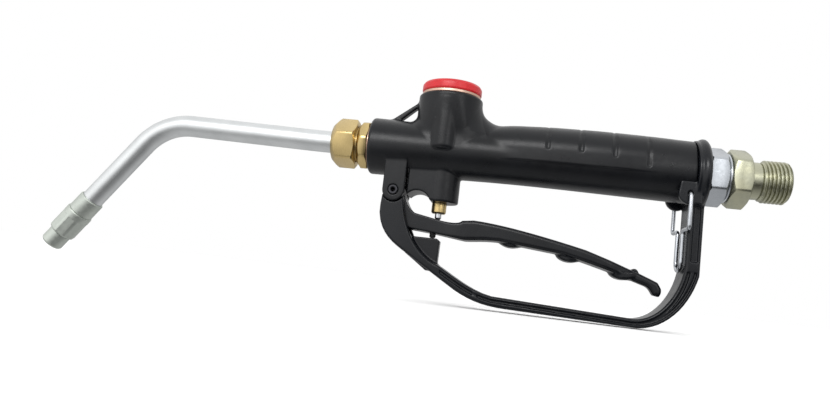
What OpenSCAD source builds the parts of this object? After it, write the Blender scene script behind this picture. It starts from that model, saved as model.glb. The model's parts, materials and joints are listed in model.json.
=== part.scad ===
// Manual oil-dispensing gun: grip body with a lever valve, hand guard, bent spout and swivel inlet.
// Origin: on the body axis, at mid-length of the inlet thread. +X points out of the inlet,
// +Z points to the valve cap, the spout leaves towards -X and bends down to -Z.

/* [Inlet] */
// Outside diameter of the inlet pipe thread
thread_d = 20.955; // [20.955]
// Pitch of the inlet pipe thread
thread_pitch = 1.814; // [1.814]
// Length of the threaded stub
thread_len = 13; // [12.5:0.5:14]
// Length of the plain neck between the thread and the hexagon
neck_len = 6; // [5:0.5:7]
// Width across the flats of the two inlet hexagons
inlet_af = 26; // [25:0.5:27]
// Length of each inlet hexagon
inlet_hex_len = 9; // [8.5:0.5:9.5]

/* [Body] */
// Length of the cast body from the guard ring to the front face
body_len = 162; // [161:0.5:163]
// Diameter of the body at its front end
front_d = 29.8; // [29:0.2:30.4]
// Smallest diameter of the grip
grip_d = 26.6; // [26:0.2:27.4]
// Diameter of the valve boss
boss_d = 33.4; // [32.4:0.2:34]
// Height of the valve boss above the body axis
boss_top = 28.8; // [28:0.2:30]
// Number of finger grooves over the grip
groove_count = 5; // [1:1:5]

/* [Valve] */
// Diameter of the red cap
cap_d = 31.2; // [30:0.2:32]
// Diameter of the push rod
rod_d = 3.4; // [3:0.1:3.6]

/* [Spout] */
// Outside diameter of the spout tube
tube_d = 11.5; // [11:0.1:12]
// Wall of the spout tube
tube_wall = 1.25; // [1:0.05:1.5]
// Angle that the elbow turns
elbow_angle = 54; // [50:1:58]
// Radius of the elbow's centre line
elbow_r = 32; // [30:1:36]
// Straight length of tube before the elbow
run_len = 69.3; // [60:0.1:75]
// Straight length of tube after the elbow, down to the tip
drop_len = 41.6; // [36:0.1:46]
// Width across the flats of the brass spout nut
nut_af = 23; // [22.5:0.1:23.5]
// Width across the flats of the brass octagon that screws into the body
adapter_af = 24; // [23.5:0.1:24.4]

/* [Latch] */
// Diameter of the latch wire
wire_d = 2; // [1.8:0.1:2]

/* [Hidden] */
$fn = 72;
// Small overrun that takes cutting tools past the face they cut
over = 1;

// Stations along X, from the inlet forwards
x_stub = -thread_len / 2 - neck_len;
x_hex = x_stub - inlet_hex_len;
x_fitting = x_hex - 1.8;
x_fitting_end = x_fitting - inlet_hex_len;
ring_len = 6;
x_ring = x_fitting_end - 0.1;
x_body = x_ring - ring_len - 0.1;
x_front = x_body - body_len;

// Root radius of the pipe thread
thread_root = thread_d / 2 - 0.64 * thread_pitch;

// Swivel joint inside the inlet fitting
spigot_r = 7.2;
spigot_fit = 0.05;
x_stud_end = x_fitting_end - 11.2;
x_spigot_end = x_stud_end - 3.2;
stud_r = 8.55;
clip_gap = 0.3;
seal_r = 6.55;
seal_wire = 0.62;
seal_front_x = x_fitting - 11;
seal_rear_x = x_fitting - 6;

// Valve stack on a vertical axis through the boss
valve_x = x_front + 39.2;
seat_top = -0.7;
seat_h = 4.3;
lip_h = 0.2;
disc_gap = 0.05;
rod_r = rod_d / 2;
block_bottom = -26.8;
gland_bottom = -32.4;
rod_bottom = -35.4;
cap_z = boss_top + 1.85;
poppet_z = 0.3;
spring_floor = 3.4;
spring_roof = 19.9;

// Palm rest and the level at which the lever rests
palm_z = 3.5;
palm_ledge = -2.6;
rest_z = -45.3;

// Lever pivot
pivot_x = x_front + 16.1;
pivot_z = -23.5;
pin_r = 2.5;
pin_fit = 0.05;

// Latch pivot in the guard's two ears
ear_x = x_body - 2.7;
ear_z = -11.4;
ear_in = 11.4;
ear_out = 14.4;
wire_r = wire_d / 2;

// Spout and tip
tube_r = tube_d / 2;
tube_bore_r = tube_r - tube_wall;
x_tube = x_front - 7.5;
tube_socket = 7;
nut_run = 16;
lift_angle = 1.2;
lift_r = 400;
tip_drop = 9.7;
// Turn of the spanner faces about the spout, as the joint was tightened
spout_turn = 14;

// ---- helpers ----

// Cubic Bezier as a list of points, without its first point
function bezier(a, b, c, d, n = 8) = [
    for (i = [1:n]) let (t = i / n, s = 1 - t)
        s * s * s * a + 3 * s * s * t * b + 3 * s * t * t * c + t * t * t * d
];

// Arc of n steps about centre c, from angle a0 to a1
function arc(c, r, a0, a1, n = 16) = [
    for (i = [0:n]) let (a = a0 + (a1 - a0) * i / n) [c[0] + r * cos(a), c[1] + r * sin(a)]
];

// Cylinder along X from x0 to x1
module rod_x(x0, x1, r) translate([x0, 0, 0]) rotate([0, 90, 0]) cylinder(h = x1 - x0, r = r);

// Cylinder along Z from z0 to z1
module rod_z(z0, z1, r) translate([0, 0, z0]) cylinder(h = z1 - z0, r = r);

// Cylinder along Y from y0 to y1, centred on (x, z)
module rod_y(x, z, y0, y1, r) translate([x, y1, z]) rotate([90, 0, 0]) cylinder(h = y1 - y0, r = r);

// Bar along X with flat sides, one of them facing the near side when the turn is 0
module flats_x(x0, x1, af, sides = 6, turn = 0) translate([x0, 0, 0]) rotate([0, 90, 0])
    rotate([0, 0, turn + (sides == 8 ? 22.5 : 0)])
    cylinder(h = x1 - x0, r = af / 2 / cos(180 / sides), $fn = sides);

// Solid of revolution about X from [radius, x] points
module turned_x(points) rotate([0, 90, 0]) rotate_extrude() polygon(points);

// Solid of revolution about Z from [radius, z] points
module turned_z(points) rotate_extrude() polygon(points);

// Ring of round section about Z
module torus_z(r, wire, z) translate([0, 0, z]) rotate_extrude() translate([r, 0]) circle(r = wire);

// Ring of round section about X
module torus_x(r, wire, x) translate([x, 0, 0]) rotate([0, 90, 0]) rotate_extrude()
    translate([r, 0]) circle(r = wire);

// Side outline in X and Z, extruded from y0 to y1
module plate(points, y0, y1) translate([0, y1, 0]) rotate([90, 0, 0])
    linear_extrude(height = y1 - y0) polygon(points);

// Plan outline in X and Y, extruded from z0 to z1
module plan(points, z0, z1) translate([0, 0, z0]) linear_extrude(height = z1 - z0) polygon(points);

// The children on both sides of the middle plane
module both_sides() {
    children();
    mirror([0, 1, 0]) children();
}

// Children moved to the valve axis
module on_valve() translate([valve_x, 0, 0]) children();

// Moves children past a bend of radius r and angle a, in a frame whose +Z runs along the tube
module past_bend(r, a) translate([-r, 0, 0]) rotate([0, -a, 0]) translate([r, 0, 0]) children();

// Frames along the spout tube, each with +Z running down the tube towards the tip
module at_tube_start() translate([x_tube, 0, 0]) rotate([0, -90, 0]) children();
module after_nut() at_tube_start() translate([0, 0, nut_run]) children();
module after_lift() after_nut() past_bend(-lift_r, -lift_angle) children();
module before_elbow() after_lift() translate([0, 0, run_len]) children();
module after_elbow() before_elbow() past_bend(elbow_r, elbow_angle) children();
module at_tip() after_elbow() translate([0, 0, drop_len]) children();

// One ring of points of a coil: the section at turn angle a and height z
function coil_ring(r_coil, r_wire, a, z, sides) = [
    for (k = [0:sides - 1]) let (b = 360 * k / sides, q = r_coil + r_wire * cos(b))
        [q * cos(a), q * sin(a), z + r_wire * sin(b)]
];

// Height along a coil whose first and last turns are closed, for u from 0 to 1
function coil_height(u, turns, length, r_wire) =
    let (shut = 1 / turns, dead = 2.1 * r_wire, free = length - 2 * r_wire - 2 * dead)
    r_wire + (u < shut ? dead * u / shut
        : u > 1 - shut ? dead + free + dead * (u - 1 + shut) / shut
        : dead + free * (u - shut) / (1 - 2 * shut));

// Helical compression spring standing on z = 0
module coil_spring(r_coil, r_wire, turns, length, sides, steps) {
    rings = turns * steps;
    points = [
        for (i = [0:rings])
            each coil_ring(r_coil, r_wire, 360 * i / steps,
                coil_height(i / rings, turns, length, r_wire), sides)
    ];
    walls = [
        for (i = [0:rings - 1], k = [0:sides - 1]) let (k2 = (k + 1) % sides)
            each [
                [i * sides + k, i * sides + k2, (i + 1) * sides + k2],
                [i * sides + k, (i + 1) * sides + k2, (i + 1) * sides + k]
            ]
    ];
    caps = [[for (k = [sides - 1:-1:0]) k], [for (k = [0:sides - 1]) rings * sides + k]];
    polyhedron(points, concat(walls, caps));
}

// ---- body ----

// Outer skin of the barrel and grip: a slight waist under the hand
module barrel() turned_x([
    [0, x_front], [front_d / 2 - 1.6, x_front], [front_d / 2, x_front + 1.6],
    [grip_d / 2 + 0.3, x_front + 51], [grip_d / 2, x_front + 70], [grip_d / 2 + 0.1, x_body - 68],
    [grip_d / 2 + 1.2, x_body], [0, x_body]
]);

// Half-width of the palm rest along the grip, as [x, half-width] points
function palm_widths() = [
    [x_body - 100, grip_d / 2 - 1.4], [x_body - 95, grip_d / 2 - 0.1], [x_body - 70, grip_d / 2 + 1],
    [x_body - 45, grip_d / 2 + 1.2], [x_body - 20, grip_d / 2 + 0.7], [x_body, grip_d / 2 - 0.1]
];

// Raised upper half of the grip, that the palm rests on, with upright sides down to a small ledge
module palm_rest() {
    widths = palm_widths();
    last = len(widths) - 1;
    sides = [for (i = [1:last]) widths[i] - [0, 0.03]];
    translate([0, 0, palm_z]) turned_x(concat(
        [[0, widths[0][0]]], [for (w = widths) [w[1], w[0]]], [[0, x_body]]));
    plan(concat([for (w = sides) [w[0], -w[1]]], [for (i = [last - 1:-1:0]) sides[i]]), palm_ledge, palm_z);
}

// Shallow grooves across the palm rest, the rear ones reaching further down
module palm_grooves() for (i = [0:groove_count - 1]) let (reach = i == 0 ? 105 : i == 1 ? 93 : 88)
    translate([x_body - 22.6 - 16.2 * i, 0, palm_z]) rotate([0, 90, 0]) rotate([0, 0, 180 - reach])
        rotate_extrude(angle = 2 * reach) translate([grip_d / 2 + 1.6, 0]) circle(r = 1.2);

// Round boss that holds the valve, its two sides drawn in to the barrel's width at the foot
module boss() on_valve() intersection() {
    turned_z([
        [0, -3], [boss_d / 2, -3], [boss_d / 2, boss_top - 1.2], [boss_d / 2 - 1.2, boss_top], [0, boss_top]
    ]);
    rotate([90, 0, 90]) linear_extrude(height = 2 * boss_d, center = true) polygon([
        [-boss_d, boss_top + over], [-17.4, 23.5], [-13.4, 8], [-12.8, -4],
        [12.8, -4], [13.4, 8], [17.4, 23.5], [boss_d, boss_top + over]
    ]);
}

// Rounded rib down each side of the boss, over the seat pocket
module boss_ribs() on_valve() both_sides() translate([-0.8, 9, 0]) rod_z(-0.8, boss_top - 2, 7.3);

// Block under the boss, with a round gland boss and an arch cut out of its front corner
module valve_block() difference() {
    union() {
        on_valve() rod_z(block_bottom, 0, 9.5);
        translate([valve_x - 16.7, -9.2, block_bottom + 0.4]) cube([16.7, 18.4, -block_bottom]);
    }
    rod_y(valve_x - 10.9, block_bottom - 2.4, -12, 12, 6.9);
}

// Two flat lugs that hold the pivot pin
module pivot_lugs() both_sides() plate(
    concat(arc([pivot_x, pivot_z], 5.6, 0, -180), [[pivot_x - 5.6, -6], [pivot_x + 5.6, -6]]), 9.2, 12.3);

// Slanted bar between the barrel and the boss, that the gun hangs by
module hanging_bar() plate([
    [valve_x - 32.5, 12.5], [valve_x - 15, 26.1], [valve_x - 15, 23.6], [valve_x - 27.3, 12.5]
], -2.5, 2.5);

module body_casting() color([0.09, 0.09, 0.1]) difference() {
    union() {
        barrel();
        palm_rest();
        boss();
        boss_ribs();
        valve_block();
        pivot_lugs();
        hanging_bar();
    }
    palm_grooves();
    // Inlet: thread bore, then the flow bore to the valve chamber
    rod_x(x_stud_end - 6.5, x_body + over, stud_r + 0.05);
    translate([0, 0, 3.5]) rod_x(valve_x + 8, x_stud_end - 6, 4.8);
    // Valve chamber, plug thread, seat pocket, lower chamber and gland thread
    on_valve() {
        rod_z(15, boss_top + over, 13.05);
        rod_z(seat_top, 15.5, 10.3);
        rod_z(seat_top - seat_h, seat_top + over, 9.05);
        rod_z(-17, seat_top - seat_h + over, 6);
        rod_z(block_bottom - over, -16, 3.05);
    }
    // Outlet: slanted passage from the lower chamber, then the adapter's thread
    translate([x_front + 15.5, 0, -1]) rotate([0, 121, 0]) cylinder(h = 26, r = 3.2);
    rod_x(x_front - over, x_front + 14.5, 8.05);
    rod_x(x_front + 14, x_front + 18, 5);
    rod_y(pivot_x, pivot_z, -13, 13, pin_r + 0.02);
}

// ---- guard ----

// Outline of the guard's hoop, drawn round the outside and back along the inside
function guard_outline() = concat(
    arc([pivot_x, pivot_z], 5.4, 0, 180),
    [[pivot_x - 5.9, -31]],
    bezier([x_front + 9.9, -31], [x_front + 10, -44], [x_front + 17, -49], [x_front + 23.2, -52.8]),
    bezier([x_front + 48, -67.8], [x_front + 58, -74], [x_front + 66, -76.3], [x_front + 78, -76.5]),
    bezier([x_body - 24, -78.6], [x_body - 7.5, -79], [x_body + 2.5, -64], [x_body + 5.9, -50]),
    [[x_body + 5.95, -14], [x_body - 1.1, -14], [x_body - 1.1, -46]],
    bezier([x_body - 1.1, -46], [x_body - 2.5, -60], [x_body - 11.5, -73.4], [x_body - 23.5, -73.6]),
    bezier([x_front + 75, -71.4], [x_front + 63, -71], [x_front + 54, -65], [x_front + 43.2, -59]),
    bezier([x_front + 43.2, -59], [x_front + 32, -55.5], [x_front + 24, -44], [x_front + 21.6, -28])
);

// Plan of the hoop: wide where it holds the lever, slim behind
function guard_plan() = [
    [x_front, -11], [x_front + 28, -11], [x_front + 76, -8], [x_body + 10, -8],
    [x_body + 10, 8], [x_front + 76, 8], [x_front + 28, 11], [x_front, 11]
];

// Space inside the front arm, for the lever's root
function lever_slot() = [
    [pivot_x - 4.95, pivot_z], [x_front + 12.9, -34], [x_front + 16, -41.5], [x_front + 19, rest_z],
    [x_front + 50, rest_z], [x_front + 50, -10], [pivot_x - 4.95, -10]
];

// Web in the front corner, that the lever's bumper rests on
module rest_web() plate([
    [x_front + 25, rest_z], [x_front + 40.2, rest_z], [x_front + 41.8, rest_z - 1.2],
    [x_front + 41.4, -62], [x_front + 36, -62], [x_front + 25, -54]
], -3.5, 3.5);

// Ear that carries one end of the latch, on the positive side
module latch_ear() plate(concat(
    arc([ear_x, ear_z], 5.4, 180, 300),
    [[x_body + 3, -16.5], [x_body + 3, -5.4], [ear_x - 5.4, -5.4]]
), ear_in, ear_out);

module guard_casting() color([0.07, 0.07, 0.08]) difference() {
    union() {
        difference() {
            intersection() {
                plate(guard_outline(), -11, 11);
                plan(guard_plan(), -90, 0);
            }
            plate(lever_slot(), -7.1, 7.1);
        }
        rest_web();
        both_sides() latch_ear();
        turned_x([
            [9, x_body + 0.1], [17.3, x_body + 0.1], [18.3, x_body + 1.1], [18.3, x_ring - 1],
            [17.3, x_ring], [9, x_ring]
        ]);
    }
    // Room for the barrel, the fitting's thread and the pivot lugs
    rod_x(x_body - 20, x_body + 0.05, grip_d / 2 + 1.4);
    rod_x(x_body - over, x_ring + over, stud_r + 0.1);
    both_sides() {
        rod_y(pivot_x, pivot_z, 8.95, 13, 5.9);
        translate([pivot_x - 7, 8.95, pivot_z]) cube([14, 4, 10]);
    }
    rod_y(pivot_x, pivot_z, -12, 12, pin_r + 0.02);
    both_sides() rod_y(ear_x, ear_z, ear_in - over, ear_out + over, wire_r + 0.3);
}

module pivot_pin() color([0.25, 0.25, 0.27]) difference() {
    rod_y(pivot_x, pivot_z, -12.8, 12.8, pin_r);
    rod_y(pivot_x, pivot_z, -13.5, 13.5, 1);
}

// ---- valve ----

module valve_seat() color([0.83, 0.68, 0.35]) on_valve() turned_z([
    [5, seat_top - seat_h], [9, seat_top - seat_h], [9, seat_top], [6.4, seat_top],
    [6.2, seat_top + lip_h], [5.2, seat_top + lip_h], [5, seat_top]
]);

module push_rod() color([0.75, 0.76, 0.78]) on_valve() turned_z([
    [0, rod_bottom], [rod_r - 0.7, rod_bottom], [rod_r, rod_bottom + 0.7], [rod_r, poppet_z], [0, poppet_z]
]);

module valve_poppet() color([0.8, 0.66, 0.34]) on_valve() turned_z([
    [0, poppet_z], [7.5, poppet_z], [7.5, spring_floor - 0.1], [3.9, spring_floor - 0.1],
    [3.2, 6], [2, 6], [2, 20], [0, 20]
]);

module valve_disc() color([0.12, 0.12, 0.12]) on_valve() turned_z([
    [rod_r, seat_top + lip_h + disc_gap], [7, seat_top + lip_h + disc_gap], [7, poppet_z], [rod_r, poppet_z]
]);

module valve_spring() color([0.7, 0.71, 0.73]) on_valve() translate([0, 0, spring_floor])
    coil_spring(5.6, 0.6, 7, spring_roof - spring_floor, 8, 20);

module top_plug() color([0.8, 0.62, 0.5]) on_valve() difference() {
    union() {
        rod_z(15.6, boss_top + 0.05, 13);
        rod_z(boss_top + 0.05, boss_top + 1.8, 15.3);
    }
    difference() {
        rod_z(15, spring_roof + 0.1, 8.6);
        rod_z(14, 21, 3.6);
    }
    rod_z(14, 24.6, 2.1);
    rod_z(boss_top - 3, boss_top + 3, 5);
    torus_z(13.1, 1, boss_top - 1.6);
}

module plug_oring() color([0.1, 0.1, 0.1]) on_valve() torus_z(12.57, 0.44, boss_top - 1.6);

module plug_cap() color([0.85, 0.08, 0.1]) on_valve() union() {
    turned_z([
        [0, cap_z], [cap_d / 2, cap_z], [cap_d / 2, cap_z + 4.1], [cap_d / 2 - 0.9, cap_z + 5],
        [cap_d / 2 - 3.4, cap_z + 5], [cap_d / 2 - 3.8, cap_z + 4.6], [0, cap_z + 4.6]
    ]);
    rod_z(boss_top - 2.8, cap_z + over, 4.9);
}

module rod_gland() color([0.85, 0.68, 0.32]) on_valve() difference() {
    turned_z([
        [0, gland_bottom], [3.3, gland_bottom], [3.8, gland_bottom + 0.5], [3.8, block_bottom - 0.05],
        [3, block_bottom - 0.05], [3, -17.5], [0, -17.5]
    ]);
    rod_z(gland_bottom - over, -16, rod_r + 0.05);
    rod_z(-24, -21, 2.35);
}

module gland_oring() color([0.1, 0.1, 0.1]) on_valve() torus_z(rod_r + 0.34, 0.28, -22.5);

// ---- spout ----

module outlet_adapter() color([0.84, 0.66, 0.3]) difference() {
    union() {
        turned_x([[0, x_front - 15.5], [9.2, x_front - 15.5], [9.2, x_front - 5], [0, x_front - 5]]);
        turned_x([[0, x_front - 2], [8, x_front - 2], [8, x_front + 11], [0, x_front + 11]]);
        intersection() {
            flats_x(x_front - 6.5, x_front - 0.7, adapter_af, 8, spout_turn);
            turned_x([
                [0, x_front - 6.5], [10.4, x_front - 6.5], [13.4, x_front - 3.9], [13.4, x_front - 1.6],
                [11.7, x_front - 0.7], [0, x_front - 0.7]
            ]);
        }
    }
    rod_x(x_front - 17, x_front + 12, 4.4);
    rod_x(x_front - 16.5, x_tube + 0.05, tube_r + 0.05);
}

module adapter_seal() color([0.72, 0.45, 0.28]) turned_x([
    [8.1, x_front - 0.65], [11.5, x_front - 0.65], [11.5, x_front - 0.05], [8.1, x_front - 0.05]
]);

module outlet_nut() color([0.86, 0.68, 0.3]) difference() {
    intersection() {
        flats_x(x_front - 20.6, x_front - 7.6, nut_af, 6, spout_turn);
        turned_x([
            [0, x_front - 20.6], [8.6, x_front - 20.6], [9.8, x_front - 20.2], [11.5, x_front - 18.6],
            [13.6, x_front - 16.2], [13.6, x_front - 8.9], [11.4, x_front - 7.6], [0, x_front - 7.6]
        ]);
    }
    rod_x(x_front - 21.5, x_front - 7, tube_r + 0.05);
    rod_x(x_front - 17.9, x_front - 7, 9.25);
}

module tube_ferrule() color([0.8, 0.64, 0.3]) turned_x([
    [tube_r + 0.05, x_front - 17.8], [8.4, x_front - 17.8], [8.4, x_front - 17],
    [tube_r + 0.6, x_front - 15.6], [tube_r + 0.05, x_front - 15.6]
]);

// Unit vectors along the tube and below it, for a heading of h degrees above -X
function heading(h) = [-cos(h), sin(h)];
function below(h) = [-sin(h), -cos(h)];

// Stations [x, z, heading] along a bend from point p, turning down by angle a in n steps
function bend_stations(p, h, r, a, n) = [
    for (i = [0:n]) let (h2 = h - a * i / n, q = p + r * below(h) - r * below(h2)) [q[0], q[1], h2]
];

// Stations along the whole centre line of the tube
function tube_stations() = let (
    lift = bend_stations([x_tube - nut_run, 0], 0, -lift_r, -lift_angle, 2),
    p = [lift[2][0], lift[2][1]] + run_len * heading(lift_angle),
    elbow = bend_stations(p, lift_angle, elbow_r, elbow_angle, 18),
    h = lift_angle - elbow_angle,
    q = [elbow[18][0], elbow[18][1]] + (drop_len + tube_socket) * heading(h)
) concat([[x_tube, 0, 0]], lift, elbow, [[q[0], q[1], h]]);

// Ring of points of radius r round one station
function tube_ring(s, r, sides) = [
    for (k = [0:sides - 1]) let (b = 360 * k / sides, n = below(s[2]))
        [s[0] + r * cos(b) * n[0], r * sin(b), s[1] + r * cos(b) * n[1]]
];

module spout_tube() color([0.8, 0.81, 0.82]) {
    sides = 32;
    line = tube_stations();
    last = len(line) - 1;
    loops = concat(
        [for (i = [0:last]) tube_ring(line[i], tube_r, sides)],
        [for (i = [last:-1:0]) tube_ring(line[i], tube_bore_r, sides)]
    );
    count = len(loops);
    points = [for (loop = loops) each loop];
    faces = [
        for (i = [0:count - 1], k = [0:sides - 1])
            let (j = (i + 1) % count, k2 = (k + 1) % sides)
            each [
                [i * sides + k, i * sides + k2, j * sides + k2],
                [i * sides + k, j * sides + k2, j * sides + k]
            ]
    ];
    polyhedron(points, faces);
}

module tip_collar() color([0.66, 0.68, 0.66]) at_tip() turned_z([
    [tube_r + 0.03, 0], [6.2, 0], [6.7, 0.5], [6.7, tip_drop], [5, tip_drop], [5, tip_drop + 3.4],
    [4, tip_drop + 3.4], [3, tip_drop + 2.2], [3, tube_socket + 0.05], [tube_r + 0.03, tube_socket + 0.05]
]);

module tip_body() color([0.64, 0.66, 0.63]) at_tip() difference() {
    union() {
        turned_z([
            [0, tip_drop + 0.05], [6.9, tip_drop + 0.05], [7.25, tip_drop + 0.4], [7.25, tip_drop + 3.7],
            [0, tip_drop + 3.7]
        ]);
        // Eight spanner flats
        intersection() {
            turned_z([
                [0, tip_drop + 1], [7.25, tip_drop + 1], [7.25, tip_drop + 14], [6.6, tip_drop + 15],
                [0, tip_drop + 15]
            ]);
            translate([0, 0, tip_drop]) cylinder(h = 16, r = 6.95 / cos(22.5), $fn = 8);
        }
    }
    translate([0, 0, tip_drop - over]) cylinder(h = 17, r = 5.05);
}

module tip_sleeve() color([0.62, 0.64, 0.61]) at_tip() turned_z([
    [2.2, tip_drop + 10.8], [5, tip_drop + 10.8], [5, tip_drop + 15.05], [5.4, tip_drop + 15.05],
    [5.85, tip_drop + 15.5], [5.85, tip_drop + 22.8], [5.35, tip_drop + 23.3], [3.8, tip_drop + 23.3],
    [3.6, tip_drop + 23], [3.6, tip_drop + 12], [2.2, tip_drop + 12]
]);

module tip_poppet() color([0.8, 0.66, 0.34]) at_tip() turned_z([
    [0, tip_drop + 2.7], [2.6, tip_drop + 2.7], [2.6, tip_drop + 4.3], [4.3, tip_drop + 4.3],
    [4.3, tip_drop + 5.3], [1.2, tip_drop + 5.3], [1.2, tip_drop + 8.6], [0, tip_drop + 8.6]
]);

module tip_poppet_seal() color([0.1, 0.1, 0.1]) at_tip() turned_z([
    [2.6, tip_drop + 3.5], [4.6, tip_drop + 3.5], [4.6, tip_drop + 4.3], [2.6, tip_drop + 4.3]
]);

module tip_spring() color([0.7, 0.71, 0.73]) at_tip() translate([0, 0, tip_drop + 5.4])
    coil_spring(3.2, 0.3, 5, 5.3, 6, 16);

// ---- inlet ----

module inlet_fitting() color([0.76, 0.78, 0.8]) difference() {
    union() {
        intersection() {
            flats_x(x_fitting_end, x_fitting, inlet_af);
            turned_x([
                [0, x_fitting_end], [14.2, x_fitting_end], [15.6, x_fitting_end + 0.8],
                [15.6, x_fitting - 1.6], [12.8, x_fitting], [0, x_fitting]
            ]);
        }
        rod_x(x_stud_end, x_fitting_end + over, stud_r);
    }
    rod_x(x_stud_end - over, x_fitting + over, spigot_r + spigot_fit);
}

module fitting_seal() color([0.1, 0.1, 0.1]) turned_x([
    [stud_r + 0.15, x_fitting_end - 0.08], [11.5, x_fitting_end - 0.08], [11.5, x_fitting_end - 0.02],
    [stud_r + 0.15, x_fitting_end - 0.02]
]);

// Pipe thread as parallel ridges with flat crests, the middle one at x = 0
function thread_ridges(side) = [
    for (i = [-side:side]) let (x = i * thread_pitch)
        each [
            [thread_root, x - 0.78], [thread_d / 2, x - 0.2], [thread_d / 2, x + 0.2], [thread_root, x + 0.78]
        ]
];

module swivel_stub() color([0.74, 0.75, 0.66]) difference() {
    union() {
        turned_x(concat(
            [[0, x_spigot_end], [spigot_r - 0.5, x_spigot_end], [spigot_r, x_spigot_end + 0.5],
            [spigot_r, x_hex], [9.4, x_hex], [9.4, x_stub + 1], [8.7, -thread_len / 2]],
            thread_ridges(floor((thread_len / 2 - 0.9) / thread_pitch)),
            [[thread_root - 0.6, thread_len / 2], [0, thread_len / 2]]));
        intersection() {
            flats_x(x_hex, x_stub, inlet_af);
            turned_x([
                [0, x_hex], [13, x_hex], [15.6, x_hex + 1.5], [15.6, x_stub - 1.5], [13, x_stub], [0, x_stub]
            ]);
        }
    }
    rod_x(x_spigot_end - over, thread_len / 2, 5);
    rod_x(thread_len / 2 - 10.5, thread_len / 2 + over, 7.6);
    // Grooves for the two seals and the clip
    for (x = [seal_front_x, seal_rear_x])
        turned_x([[5.9, x - 0.8], [8, x - 0.8], [8, x + 0.8], [5.9, x + 0.8]]);
    turned_x([
        [6.2, x_stud_end - clip_gap - 1.05], [8, x_stud_end - clip_gap - 1.05],
        [8, x_stud_end - clip_gap + 0.05], [6.2, x_stud_end - clip_gap + 0.05]
    ]);
}

module swivel_washer() color([0.86, 0.86, 0.84]) turned_x([
    [spigot_r + 0.02, x_hex - 1.6], [11.8, x_hex - 1.6], [12.3, x_hex - 1.1], [12.3, x_hex - 0.05],
    [spigot_r + 0.02, x_hex - 0.05]
]);

module swivel_oring_front() color([0.1, 0.1, 0.1]) torus_x(seal_r, seal_wire, seal_front_x);

module swivel_oring_rear() color([0.1, 0.1, 0.1]) torus_x(seal_r, seal_wire, seal_rear_x);

module swivel_clip() color([0.3, 0.3, 0.32]) difference() {
    turned_x([
        [6.25, x_stud_end - clip_gap - 1], [8.15, x_stud_end - clip_gap - 1],
        [8.15, x_stud_end - clip_gap], [6.25, x_stud_end - clip_gap]
    ]);
    translate([x_stud_end - 3, -1.2, 0]) cube([4, 2.4, 10]);
}

module filter_ring() color([0.82, 0.67, 0.35]) turned_x([
    [6.3, thread_len / 2 - 2.4], [7.55, thread_len / 2 - 2.4], [7.55, thread_len / 2 - 0.6],
    [6.3, thread_len / 2 - 0.6]
]);

module filter_cone() color([0.7, 0.72, 0.74]) difference() {
    turned_x([
        [6.25, thread_len / 2 - 0.7], [6.25, thread_len / 2 - 2.4], [2.2, thread_len / 2 - 9.5],
        [0, thread_len / 2 - 9.5], [0, thread_len / 2 - 9], [1.9, thread_len / 2 - 9],
        [5.8, thread_len / 2 - 2.3], [5.8, thread_len / 2 - 0.7]
    ]);
    for (row = [0:2], a = [0:45:315])
        translate([thread_len / 2 - 4 - 1.7 * row, 0, 0]) rotate([a + 22.5 * row, 0, 0])
            cylinder(h = 8, r = 0.55);
}

// ---- lever ----

// Side outline of the lever: root round the pin, throat, long handle and curled tail
function lever_outline() = concat(
    arc([pivot_x, pivot_z], 4.6, 30, 200),
    [[pivot_x - 1.9, -31], [x_front + 19.4, -38.5], [x_front + 26, -41.8], [x_front + 37, -42.7]],
    bezier([x_front + 52, -44.8], [x_front + 58, -45], [x_front + 62, -43.4], [x_front + 72, -43.6]),
    bezier([x_front + 95, -44.8], [x_front + 118, -49.5], [x_front + 132, -53.6], [x_front + 144.5, -57.4]),
    bezier([x_front + 144.5, -57.4], [x_front + 146.5, -58.2], [x_front + 147, -60],
        [x_front + 148.2, -61.3], 4),
    bezier([x_front + 150.5, -62.3], [x_front + 152, -61], [x_front + 152.3, -59],
        [x_front + 151.8, -57.6], 6),
    bezier([x_front + 151, -55.4], [x_front + 149.5, -54.6], [x_front + 147, -53.6],
        [x_front + 140.2, -51.1], 5),
    bezier([x_front + 122, -44.8], [x_front + 90, -37.5], [x_front + 70, -34.7], [x_front + 58, -34.3], 10),
    bezier([x_front + 52.5, -34.2], [x_front + 52.5, -36.9], [x_front + 47, -37], [x_front + 41.2, -36.1], 6),
    bezier([x_front + 30, -34.4], [x_front + 23.6, -32.8], [x_front + 22, -27],
        [pivot_x + 4, pivot_z + 2.3], 6)
);

// Plan of the lever: full width under the fingers, narrow tail that the latch passes over
function lever_plan() = let (tail = 3.3) [
    [pivot_x - 6, -6.8], [x_front + 42, -6.8], [x_front + 50, -7.5], [x_body - 36, -7.5],
    [x_body - 25, -tail], [x_body, -tail], [x_body, tail], [x_body - 25, tail],
    [x_body - 36, 7.5], [x_front + 50, 7.5], [x_front + 42, 6.8], [pivot_x - 6, 6.8]
];

// Rounded ridge across the underside of the lever, between two fingers
module finger_ridge(x, z) intersection() {
    rod_y(x, z + 9.4, -6, 6, 12);
    translate([x - 8, -6, z - 5]) cube([16, 12, 6]);
}

module trigger_lever() color([0.08, 0.08, 0.09]) difference() {
    union() {
        intersection() {
            plate(lever_outline(), -8, 8);
            plan(lever_plan(), -90, 0);
        }
        finger_ridge(x_front + 77.8, -43.2);
        finger_ridge(x_front + 107, -47.2);
        finger_ridge(x_front + 133, -52.9);
        plate(arc([x_front + 138.8, -51.2], 1.9, 0, 180, 8), -1.5, 1.5);
    }
    rod_y(pivot_x, pivot_z, -8, 8, pin_r + pin_fit);
    translate([x_front + 37.5, 0, 0]) rod_z(-48, -39, 1.65);
}

module lever_bumper() color([0.05, 0.05, 0.05]) translate([x_front + 37.5, 0, 0])
    rod_z(rest_z + 0.25, -39.05, 1.6);

// ---- latch ----

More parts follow.
